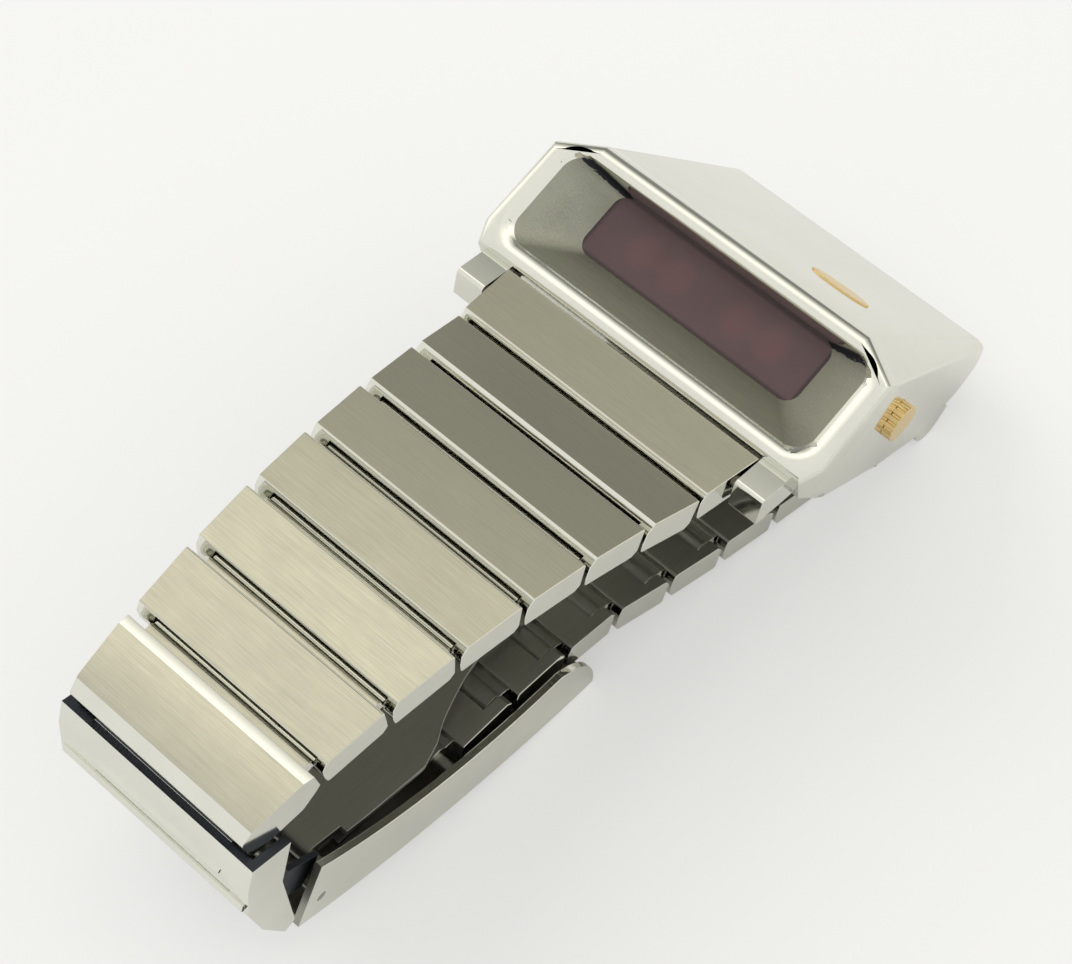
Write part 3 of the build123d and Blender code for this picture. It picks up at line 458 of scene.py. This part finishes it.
def window_material(finish):
    """The window: tinted glass over black, with painted shade darkening its border and a painted glow round
    the figures.
    """
    material, tree, shader = new_material("window_red")
    set_inputs(shader, Metallic=0.0, IOR=1.38, Transmission_Weight=0.35)
    marks = grouped(tree, handling_group(), Marks_per_Metre=140.0)
    view = grouped(tree, view_group())
    # Painted shade: the window's colour goes darker towards its border
    border, inner, shaded_border_colour, colour = mix_sockets(tree, "RGBA")
    shaded_border_colour.default_value = [share * finish.border_painted_shade for share in finish.lens_colour[:3]] + [1]
    tree.links.new(view.outputs["Border"], border)
    tree.links.new(tinted(tree, marks.outputs["Smear"], finish.lens_colour, 0.8), inner)
    tree.links.new(colour, shader.inputs["Base Color"])
    tree.links.new(ranged(tree, marks.outputs["Smear"], 0.10, 0.2), shader.inputs["Roughness"])
    shader.inputs["Emission Color"].default_value = finish.glow_colour
    # Painted glow: the window emits round each figure
    painted_glow = ranged(tree, view.outputs["Figures"], 0.0, finish.painted_glow_strength)
    tree.links.new(painted_glow, shader.inputs["Emission Strength"])
    return material


def glow_material(finish):
    """Digits that glow faintly red."""
    material, tree, shader = new_material("digit_glow")
    set_inputs(shader, Roughness=0.5, Emission_Strength=0.7)
    marks = grouped(tree, handling_group(), Marks_per_Metre=2500.0)
    colour = tinted(tree, marks.outputs["Smear"], finish.glow_colour, 0.6)
    tree.links.new(colour, shader.inputs["Base Color"])
    tree.links.new(colour, shader.inputs["Emission Color"])
    return material


def finishes():
    """Every finish of the watch, made once."""
    if "watch_steel_polished" in bpy.data.materials:
        return {name: bpy.data.materials[f"watch_{name}"] for name in FINISH_NAMES}
    finish = bpy.context.scene.watch_finish
    along, across = 1 / finish.grain_length, 1 / finish.grain_width
    crosswise = (along, across, across)
    lengthwise = (across, along, along * 2)
    made = [
        polished_metal("steel_polished", finish.polished_colour, 0.05, 0.12),
        polished_metal("gilt", finish.gilt_colour, 0.16, 0.3),
        brushed_metal("steel_brushed", finish.brushed_colour, crosswise, 0.26, 0.4, 0.72),
        brushed_metal("steel_satin", finish.satin_colour, lengthwise, 0.34, 0.48, 0.8),
        tunnel_metal(finish, crosswise),
        # Painted shade: near-black steel for the tunnel's upper wall and the end cap's inside
        brushed_metal("steel_painted_shade", (0.055, 0.06, 0.075, 1), lengthwise, 0.4, 0.55, 0.7),
        window_material(finish),
        glow_material(finish),
        plain_surface("module_ceramic", (0.035, 0.012, 0.014, 1), 0.5),
        plain_surface("seal_rubber", (0.02, 0.02, 0.02, 1), 0.7),
        plain_surface("board_green", (0.03, 0.14, 0.06, 1), 0.45),
        plain_surface("chip_black", (0.02, 0.02, 0.022, 1), 0.5),
        plain_surface("carrier_plastic", (0.55, 0.5, 0.38, 1), 0.5),
        plain_surface("nickel_can", (0.62, 0.61, 0.57, 1), 0.28, 0.92, 1.0),
    ]
    return dict(zip(FINISH_NAMES, made))


FINISH_NAMES = [
    "steel_polished", "gilt", "steel_brushed", "steel_satin", "tunnel_brushed", "steel_painted_shade",
    "window_red", "digit_glow", "module_ceramic", "seal_rubber", "board_green", "chip_black",
    "carrier_plastic", "nickel_can",
]


def merged_mesh(node, slivers=None):
    """A copy of a CAD node's triangles, joined into faces; slivers are (place test, length closed)."""
    mesh = bpy.data.meshes.new(f"{node}_finished")
    shape = bmesh.new()
    shape.from_mesh(nodes[node].data)
    bmesh.ops.remove_doubles(shape, verts=shape.verts, dist=1e-7)
    if slivers:
        chosen, longest = slivers
        corners = [corner for corner in shape.verts if chosen(corner.co)]
        bmesh.ops.remove_doubles(shape, verts=corners, dist=longest)
    bmesh.ops.dissolve_limit(
        shape, angle_limit=math.radians(0.3), verts=shape.verts, edges=shape.edges,
        use_dissolve_boundaries=False)
    for face in shape.faces:
        face.smooth = True
        face.material_index = 0
    shape.to_mesh(mesh)
    shape.free()
    for attribute in [layer for layer in mesh.attributes if layer.name == "custom_normal"]:
        mesh.attributes.remove(attribute)
    return mesh


def plain_mesh(thing):
    """The evaluated shape of an object as a plain mesh."""
    bpy.context.view_layer.update()
    shown = thing.evaluated_get(bpy.context.evaluated_depsgraph_get())
    mesh = bpy.data.meshes.new_from_object(shown)
    mesh.name = thing.name
    return mesh


def rounded_where(mesh, width, segments, chosen):
    """Rounds the edges that chosen picks from their ends, their length and the turn of their faces."""
    shape = bmesh.new()
    shape.from_mesh(mesh)
    edges = [
        edge for edge in shape.edges
        if len(edge.link_faces) == 2
        and chosen(edge.verts[0].co, edge.verts[1].co, edge.calc_length(), edge.calc_face_angle_signed())
    ]
    bmesh.ops.bevel(
        shape, geom=edges, offset=width, offset_type="OFFSET", segments=segments, profile=0.5,
        affect="EDGES", clamp_overlap=False, harden_normals=False)
    for face in shape.faces:
        face.smooth = True
    shape.to_mesh(mesh)
    shape.free()


def finish_node(node, materials, edge_round, pick=None, roundings=(), slivers=None):
    """A rounded copy of a node; pick gives a face's finish from its middle and normal."""
    mesh = merged_mesh(node, slivers)
    for width, segments, chosen in roundings:
        rounded_where(mesh, width, segments, chosen)
    for material in materials:
        mesh.materials.append(material)
    if pick:
        for face in mesh.polygons:
            face.material_index = pick(face.center, face.normal)
    piece = bpy.data.objects.new(f"{node}_finished", mesh)
    bpy.context.scene.collection.objects.link(piece)
    broken = piece.modifiers.new("edge break", "BEVEL")
    broken.width = edge_round
    broken.segments = 2
    broken.limit_method = "ANGLE"
    broken.angle_limit = math.radians(35)
    broken.harden_normals = True
    broken.use_clamp_overlap = True
    rounded = plain_mesh(piece)
    piece.modifiers.clear()
    piece.data = rounded
    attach(piece, nodes[node]["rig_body"])
    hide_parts(node)
    return piece


def paint_node(node, material):
    """Gives a CAD node that stays as it is its finish."""
    nodes[node].data.materials.clear()
    nodes[node].data.materials.append(material)


def link_axes(name, names, hinges):
    """Directions along and out of a link, from its own hinge to the next one."""
    index = names.index(name)
    along = (hinges[index + 1] - hinges[index]).normalized()
    outward = Vector((0, -along.z, along.y))
    if names is FRONT_LINKS:
        outward = -outward
    return along, outward


class WATCH_OT_case(bpy.types.Operator):
    """Finishes the case, its back and its inlay."""

    bl_idname = "watch.case"
    bl_label = "Finish Case"

    def execute(self, context):
        """Finishes the case pieces and paints what lies inside."""
        finish = context.scene.watch_finish
        made = finishes()
        polished, satin = made["steel_polished"], made["steel_satin"]
        to_case = CASE_TO_ROW.inverted()

        def outer_edge(first, second, length, turn):
            """The long outer edges of the top, the flanks and the tail."""
            middle = to_case @ ((first + second) / 2)
            outside = abs(middle.x) > CASE_INSIDE or middle.z > TOP_INSIDE
            return outside and length > SHORT_EDGE and turn > FLAT_TURN

        finish_node(
            "case_shell", [polished], finish.edge_round, roundings=[(finish.case_round, 4, outer_edge)])
        finish_node("top_inlay", [made["gilt"]], finish.edge_round / 2)
        finish_node("caseback", [satin], finish.edge_round)
        finish_node("caseback_screws", [polished], finish.edge_round / 2)
        inside = {
            "circuit_board": "board_green", "timing_chip": "chip_black", "quartz_crystal": "nickel_can",
            "battery_cells": "nickel_can", "battery_carrier": "carrier_plastic",
            "caseback_seal": "seal_rubber", "lens_gasket": "seal_rubber", "led_module": "module_ceramic",
        }
        for node, material in inside.items():
            paint_node(node, made[material])
        return {"FINISHED"}


class WATCH_OT_window(bpy.types.Operator):
    """Makes the rim, the brushed tunnel, the red window and the digits behind it."""

    bl_idname = "watch.window"
    bl_label = "Finish Window"

    def execute(self, context):
        """Finishes the rim and the window."""
        finish = context.scene.watch_finish
        made = finishes()
        to_rim = RIM_TO_ROW.inverted()

        def tunnel_side(middle, normal):
            """The tunnel's walls and their rounding look inwards; the upper wall gets painted shade."""
            place = to_rim @ middle
            facing = to_rim.to_3x3() @ normal
            inward = facing.x * place.x + facing.y * (place.y - WINDOW_MIDDLE) < 0
            if place.z > -RIM_FLATNESS / 2 or not inward or facing.z < 0.03:
                return 0
            # 2 is the painted shade on the tunnel's upper wall
            return 2 if facing.y < -0.6 and place.z < -finish.rim_inner_round else 1

        def on_rim(place, slack=RIM_FLATNESS):
            """A place on the rim's own plane."""
            return abs((to_rim @ place).z) < slack

        def outside_window(place):
            """A place beyond the window's outline."""
            local = to_rim @ place
            return abs(local.x) > WINDOW_SIDE or local.y > WINDOW_HEAD or local.y < WINDOW_FOOT

        def rim_outline(place):
            """A place on the rim's outer edge."""
            return on_rim(place, finish.rim_weld) and outside_window(place)

        def outer_rim(first, second, length, turn):
            """The edge round the rim's outside."""
            return rim_outline(first) and rim_outline(second)

        def inner_rim(first, second, length, turn):
            """The edge round the window."""
            inside = not (outside_window(first) or outside_window(second))
            return inside and on_rim(first) and on_rim(second)

        finish_node(
            "front_bezel", [made["steel_polished"], made["tunnel_brushed"], made["steel_painted_shade"]],
            finish.edge_round, tunnel_side,
            [(finish.rim_round, 6, outer_rim), (finish.rim_inner_round, 4, inner_rim)],
            (rim_outline, finish.rim_weld))
        finish_node("display_lens", [made["window_red"]], finish.edge_round)
        digits = digit_row(made["digit_glow"])
        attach(digits, "case")
        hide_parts("led_digits")
        return {"FINISHED"}


def geometry_tree(name, inputs):
    """An empty Geometry Nodes tree with named inputs."""
    tree = bpy.data.node_groups.new(name, "GeometryNodeTree")
    tree.interface.new_socket(name="Geometry", in_out="INPUT", socket_type="NodeSocketGeometry")
    for socket_name, kind, value in inputs:
        socket = tree.interface.new_socket(name=socket_name, in_out="INPUT", socket_type=kind)
        if value is not None:
            socket.default_value = value
    tree.interface.new_socket(name="Geometry", in_out="OUTPUT", socket_type="NodeSocketGeometry")
    return tree, tree.nodes.new("NodeGroupInput"), tree.nodes.new("NodeGroupOutput")


def grown(name, mesh, tree, values):
    """A piece made by a Geometry Nodes tree, turned into a plain mesh."""
    piece = bpy.data.objects.new(name, mesh)
    bpy.context.scene.collection.objects.link(piece)
    modifier = piece.modifiers.new(name, "NODES")
    modifier.node_group = tree
    for socket in tree.interface.items_tree:
        if socket.in_out == "INPUT" and socket.name in values:
            modifier[socket.identifier] = values[socket.name]
    result = plain_mesh(piece)
    piece.modifiers.clear()
    piece.data = result
    return piece


def digit_tree():
    """Lays a bar on each point, turned upright where the point says so."""
    tree, given, out = geometry_tree("digit bars", [
        ("Bar Length", "NodeSocketFloat", 0.001), ("Bar Width", "NodeSocketFloat", 0.00025),
        ("Finish", "NodeSocketMaterial", None)])
    bar = tree.nodes.new("GeometryNodeMeshCube")
    size = tree.nodes.new("ShaderNodeCombineXYZ")
    upright = new_node(tree, "GeometryNodeInputNamedAttribute", data_type="FLOAT")
    upright.inputs["Name"].default_value = "upright"
    turn = new_node(tree, "ShaderNodeMath", operation="MULTIPLY")
    turn.inputs[1].default_value = math.pi / 2
    rotation = tree.nodes.new("ShaderNodeCombineXYZ")
    spread = tree.nodes.new("GeometryNodeInstanceOnPoints")
    real = tree.nodes.new("GeometryNodeRealizeInstances")
    paint = tree.nodes.new("GeometryNodeSetMaterial")
    tree.links.new(given.outputs["Bar Length"], size.inputs["X"])
    tree.links.new(given.outputs["Bar Width"], size.inputs["Y"])
    tree.links.new(given.outputs["Bar Width"], size.inputs["Z"])
    tree.links.new(size.outputs["Vector"], bar.inputs["Size"])
    tree.links.new(upright.outputs["Attribute"], turn.inputs[0])
    tree.links.new(turn.outputs["Value"], rotation.inputs["Z"])
    tree.links.new(given.outputs["Geometry"], spread.inputs["Points"])
    tree.links.new(bar.outputs["Mesh"], spread.inputs["Instance"])
    tree.links.new(rotation.outputs["Vector"], spread.inputs["Rotation"])
    tree.links.new(spread.outputs["Instances"], real.inputs["Geometry"])
    tree.links.new(real.outputs["Geometry"], paint.inputs["Geometry"])
    tree.links.new(given.outputs["Finish"], paint.inputs["Material"])
    tree.links.new(paint.outputs["Geometry"], out.inputs["Geometry"])
    return tree


def digit_row(material):
    """The four figures behind the window."""
    relief_middle = -(TUNNEL_DEPTH + LENS_THICKNESS + GASKET_THICKNESS) + DIGIT_RELIEF / 2
    points, upright = [], []
    for place in DIGIT_PLACES:
        for level in (-1, 0, 1):
            points.append((place, DIGIT_LINE + level * (DIGIT_HEIGHT - STROKE) / 2, 0))
            upright.append(0.0)
        for side in (-1, 1):
            for level in (-1, 1):
                points.append((
                    place + side * (DIGIT_WIDTH - STROKE) / 2, DIGIT_LINE + level * DIGIT_HEIGHT / 4, 0))
                upright.append(1.0)
    mesh = bpy.data.meshes.new("digit_points")
    mesh.from_pydata(points, [], [])
    mesh.attributes.new("upright", "FLOAT", "POINT").data.foreach_set("value", upright)
    digits = grown("digits_lit", mesh, digit_tree(), {
        "Bar Length": DIGIT_WIDTH - 2 * STROKE, "Bar Width": STROKE * 0.9, "Finish": material})
    digits.data.transform(RIM_TO_ROW @ Matrix.Translation((0, 0, relief_middle)))
    return digits


class WATCH_OT_button(bpy.types.Operator):
    """Gilds the fluted button on the case's flank."""

    bl_idname = "watch.button"
    bl_label = "Finish Button"

    def execute(self, context):
        """Finishes the button and the spring behind it."""
        finish = context.scene.watch_finish
        made = finishes()
        finish_node("time_button", [made["gilt"]], finish.edge_round / 4)
        paint_node("button_spring", made["steel_satin"])
        return {"FINISHED"}


class WATCH_OT_bracelet(bpy.types.Operator):
    """Brushes the links' tops and polishes their slanted ends and sides."""

    bl_idname = "watch.bracelet"
    bl_label = "Finish Bracelet"

    def execute(self, context):
        """Finishes every link and its pin."""
        finish = context.scene.watch_finish
        made = finishes()
        trio = [made["steel_polished"], made["steel_brushed"], made["steel_satin"]]
        front = [joint_places[f"{name}_hinge"] for name in FRONT_LINKS] + [joint_places["end_cap_hinge"]]
        rear = [joint_places[f"{name}_hinge"] for name in REAR_LINKS] + [joint_places["cover_hinge"]]
        for names, hinges in ((FRONT_LINKS, front), (REAR_LINKS, rear)):
            for name in names:
                _, outward = link_axes(name, names, hinges)

                def surface(middle, normal, outward=outward):
                    """Top brushed, underside satin, the rest polished."""
                    facing = normal.dot(outward)
                    return 1 if facing > 0.97 else 2 if facing < -0.5 else 0

                finish_node(name, trio, finish.link_edge_round, surface)
                paint_node(f"{name}_pin", made["steel_satin"])
        paint_node("end_cap_bar", made["steel_satin"])
        return {"FINISHED"}


class WATCH_OT_clasp(bpy.types.Operator):
    """Finishes the clasp's cover, leaves, end cap and bars."""

    bl_idname = "watch.clasp"
    bl_label = "Finish Clasp"

    def execute(self, context):
        """Finishes the clasp."""
        finish = context.scene.watch_finish
        made = finishes()
        middle_x = (cad_box[0][0] + cad_box[1][0]) / 2
        cap_low, cap_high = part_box("clasp_end_cap")

        def cap_face(middle, normal):
            """The end cap is polished on its outside, its ends and its lip; within, it gets painted shade.
            """
            at_end = abs(middle.x - middle_x) > (cap_high.x - cap_low.x) / 2 - CAP_END
            on_end = abs(normal.x) > 0.7 and at_end
            on_lip = normal.z > 0.6 and middle.y < cap_low.y + CAP_LIP
            return 0 if normal.y < -0.3 or on_end or on_lip else 1

        # The end cap's inside is painted shade
        finish_node(
            "clasp_end_cap", [made["steel_polished"], made["steel_painted_shade"]], finish.edge_round, cap_face)
        cover_low, cover_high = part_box("clasp_cover")

        def cover_face(middle, normal):
            """The cover is polished outside and satin in its channel."""
            inside = abs(middle.x - middle_x) < (cover_high.x - cover_low.x) / 2 - COVER_WALL
            return 1 if inside and normal.z > -0.2 else 0

        finish_node(
            "clasp_cover", [made["steel_polished"], made["steel_satin"]], finish.edge_round, cover_face)
        for node in ("clasp_outer_leaf", "clasp_inner_leaf"):
            finish_node(node, [made["steel_satin"]], finish.edge_round / 2)
        for node in ("adjust_bar", "cover_hinge_pin", "leaf_hinge_pin", "clasp_end_bar"):
            paint_node(node, made["steel_satin"])
        return {"FINISHED"}


class WATCH_OT_studio(bpy.types.Operator):
    """Sets the pale floor, the soft lamps and the camera."""

    bl_idname = "watch.studio"
    bl_label = "Set Studio"

    def execute(self, context):
        """Builds the studio round the watch."""
        studio = context.scene.watch_studio
        context.scene.view_settings.view_transform = "Standard"
        make_floor(studio)
        make_sky(studio)
        make_lamp("key_lamp", studio.key_power, studio.key_size, LAMP_PLACE)
        make_camera(studio)
        return {"FINISHED"}


def make_floor(studio):
    """A plain pale table."""
    half = studio.floor_size / 2
    mesh = bpy.data.meshes.new("table")
    corners = [(-half, -half, 0), (half, -half, 0), (half, half, 0), (-half, half, 0)]
    mesh.from_pydata(corners, [], [(0, 1, 2, 3)])
    floor = bpy.data.objects.new("table", mesh)
    bpy.context.scene.collection.objects.link(floor)
    material, tree, shader = new_material("table_pale")
    set_inputs(shader, Roughness=0.6)
    shader.inputs["Base Color"].default_value = studio.floor_colour
    path = tree.nodes.new("ShaderNodeLightPath")
    glow = set_inputs(new_node(tree, "ShaderNodeEmission"), Color=(1, 1, 1, 1), Strength=0.97)
    mix = tree.nodes.new("ShaderNodeMixShader")
    share = new_node(tree, "ShaderNodeMath", operation="MULTIPLY")
    share.inputs[1].default_value = 0.45
    tree.links.new(path.outputs["Is Camera Ray"], share.inputs[0])
    tree.links.new(share.outputs["Value"], mix.inputs["Fac"])
    tree.links.new(shader.outputs["BSDF"], mix.inputs[1])
    tree.links.new(glow.outputs["Emission"], mix.inputs[2])
    tree.links.new(mix.outputs["Shader"], tree.nodes["Material Output"].inputs["Surface"])
    mesh.materials.append(material)
    return floor


def filled_ramp(tree, stops):
    """A colour ramp with these (place, colour) stops."""
    node = tree.nodes.new("ShaderNodeValToRGB")
    ramp = node.color_ramp
    ramp.elements.remove(ramp.elements[1])
    ramp.elements[0].position, ramp.elements[0].color = stops[0]
    for place, colour in stops[1:]:
        ramp.elements.new(place).color = colour
    return node


def make_sky(studio):
    """Light from all round: brightest overhead, dimmer behind; pale where it is seen."""
    world = bpy.data.worlds.new("studio")
    bpy.context.scene.world = world
    world.use_nodes = True
    tree = world.node_tree
    background = tree.nodes["Background"]
    place = tree.nodes.new("ShaderNodeTexCoord")
    parts = tree.nodes.new("ShaderNodeSeparateXYZ")
    across = new_node(tree, "ShaderNodeVectorMath", operation="DOT_PRODUCT")
    across.inputs[1].default_value = (-0.5, 1.0, 0.0)
    depth = set_inputs(new_node(tree, "ShaderNodeMapRange", clamp=True), From_Min=-0.84, From_Max=1.16)
    backward = filled_ramp(tree, [
        (0.0, (0.92, 0.92, 0.89, 1)), (0.44, (0.95, 0.95, 0.91, 1)), (0.5, (1.15, 1.13, 1.04, 1)),
        (0.57, (1.4, 1.37, 1.24, 1)), (0.64, (1.5, 1.47, 1.33, 1)), (0.72, (1.1, 1.08, 0.99, 1)),
        (0.8, (0.66, 0.66, 0.6, 1)), (0.8575, (0.38, 0.39, 0.36, 1)), (0.875, (0.25, 0.255, 0.24, 1)),
        (0.92, (0.26, 0.265, 0.25, 1)), (0.955, (0.34, 0.35, 0.33, 1)), (0.985, (0.2, 0.205, 0.19, 1)),
        (1.0, (0.14, 0.145, 0.135, 1)),
    ])
    height = filled_ramp(tree, [(0.0, (1, 1, 1, 1)), (0.05, (1, 1, 1, 1)), (0.16, (0, 0, 0, 1))])
    low_down, upper, lower, all_round = mix_sockets(tree, "RGBA")
    lower.default_value = (0.95, 0.95, 0.93, 1)
    path = tree.nodes.new("ShaderNodeLightPath")
    seen, unseen_colour, seen_colour, colour = mix_sockets(tree, "RGBA")
    seen_colour.default_value = (0.91, 0.91, 0.91, 1)
    seen_level, unseen_strength, seen_strength, strength = mix_sockets(tree, "FLOAT")
    unseen_strength.default_value = studio.sky_strength
    seen_strength.default_value = 1.0
    tree.links.new(place.outputs["Generated"], parts.inputs["Vector"])
    tree.links.new(place.outputs["Generated"], across.inputs[0])
    tree.links.new(across.outputs["Value"], depth.inputs["Value"])
    tree.links.new(depth.outputs["Result"], backward.inputs["Fac"])
    tree.links.new(parts.outputs["Z"], height.inputs["Fac"])
    tree.links.new(height.outputs["Color"], low_down)
    tree.links.new(backward.outputs["Color"], upper)
    tree.links.new(all_round, unseen_colour)
    tree.links.new(path.outputs["Is Camera Ray"], seen)
    tree.links.new(path.outputs["Is Camera Ray"], seen_level)
    tree.links.new(colour, background.inputs["Color"])
    tree.links.new(strength, background.inputs["Strength"])


def make_lamp(name, power, size, place):
    """A large soft lamp that looks at the watch."""
    lamp = bpy.data.lights.new(name, "AREA")
    lamp.shape = "SQUARE"
    lamp.size = size
    lamp.energy = power
    thing = bpy.data.objects.new(name, lamp)
    bpy.context.scene.collection.objects.link(thing)
    thing.visible_glossy = False
    aim = LAMP_AIM - place
    thing.matrix_world = Matrix.Translation(place) @ aim.to_track_quat("-Z", "Y").to_matrix().to_4x4()


def make_camera(studio):
    """The camera at the picture's viewpoint, worked out in the case's frame."""
    camera = bpy.data.cameras.new("picture_view")
    camera.sensor_fit = "HORIZONTAL"
    camera.sensor_width = 36.0
    camera.lens = studio.focal_length
    camera.clip_start = 0.01
    thing = bpy.data.objects.new("picture_view", camera)
    bpy.context.scene.collection.objects.link(thing)
    right, down = Vector(studio.camera_right).normalized(), Vector(studio.camera_down).normalized()
    forward = right.cross(down)
    axes = Matrix((right, -down, -forward)).transposed().to_4x4()
    thing.matrix_world = CASE_TO_ROW @ Matrix.Translation(studio.camera_place) @ axes
    bpy.context.scene.camera = thing


class WATCH_PT_finish(bpy.types.Panel):
    """Lists the watch's operators, sizes and colours."""

    bl_idname = "WATCH_PT_finish"
    bl_label = "Driver's Watch"
    bl_space_type = "VIEW_3D"
    bl_region_type = "UI"
    bl_category = "Watch"

    def draw(self, context):
        """Draws the operators, then the values."""
        for operator in OPERATORS:
            self.layout.operator(operator.bl_idname)
        for values in (context.scene.watch_finish, context.scene.watch_studio):
            for name in values.__annotations__:
                self.layout.prop(values, name)


OPERATORS = (
    WATCH_OT_case, WATCH_OT_window, WATCH_OT_button, WATCH_OT_bracelet, WATCH_OT_clasp, WATCH_OT_studio,
)
CLASSES = (WatchFinish, WatchStudio, *OPERATORS, WATCH_PT_finish)


def register():
    """Registers the classes and their values on the scene."""
    for kind in CLASSES:
        bpy.utils.register_class(kind)
    bpy.types.Scene.watch_finish = PointerProperty(type=WatchFinish)
    bpy.types.Scene.watch_studio = PointerProperty(type=WatchStudio)


def unregister():
    """Takes them away again."""
    del bpy.types.Scene.watch_studio
    del bpy.types.Scene.watch_finish
    for kind in reversed(CLASSES):
        bpy.utils.unregister_class(kind)


def main():
    """Finishes the whole watch."""
    register()
    bpy.ops.watch.case()
    bpy.ops.watch.window()
    bpy.ops.watch.button()
    bpy.ops.watch.bracelet()
    bpy.ops.watch.clasp()
    bpy.ops.watch.studio()


if __name__ == "__main__":
    main()
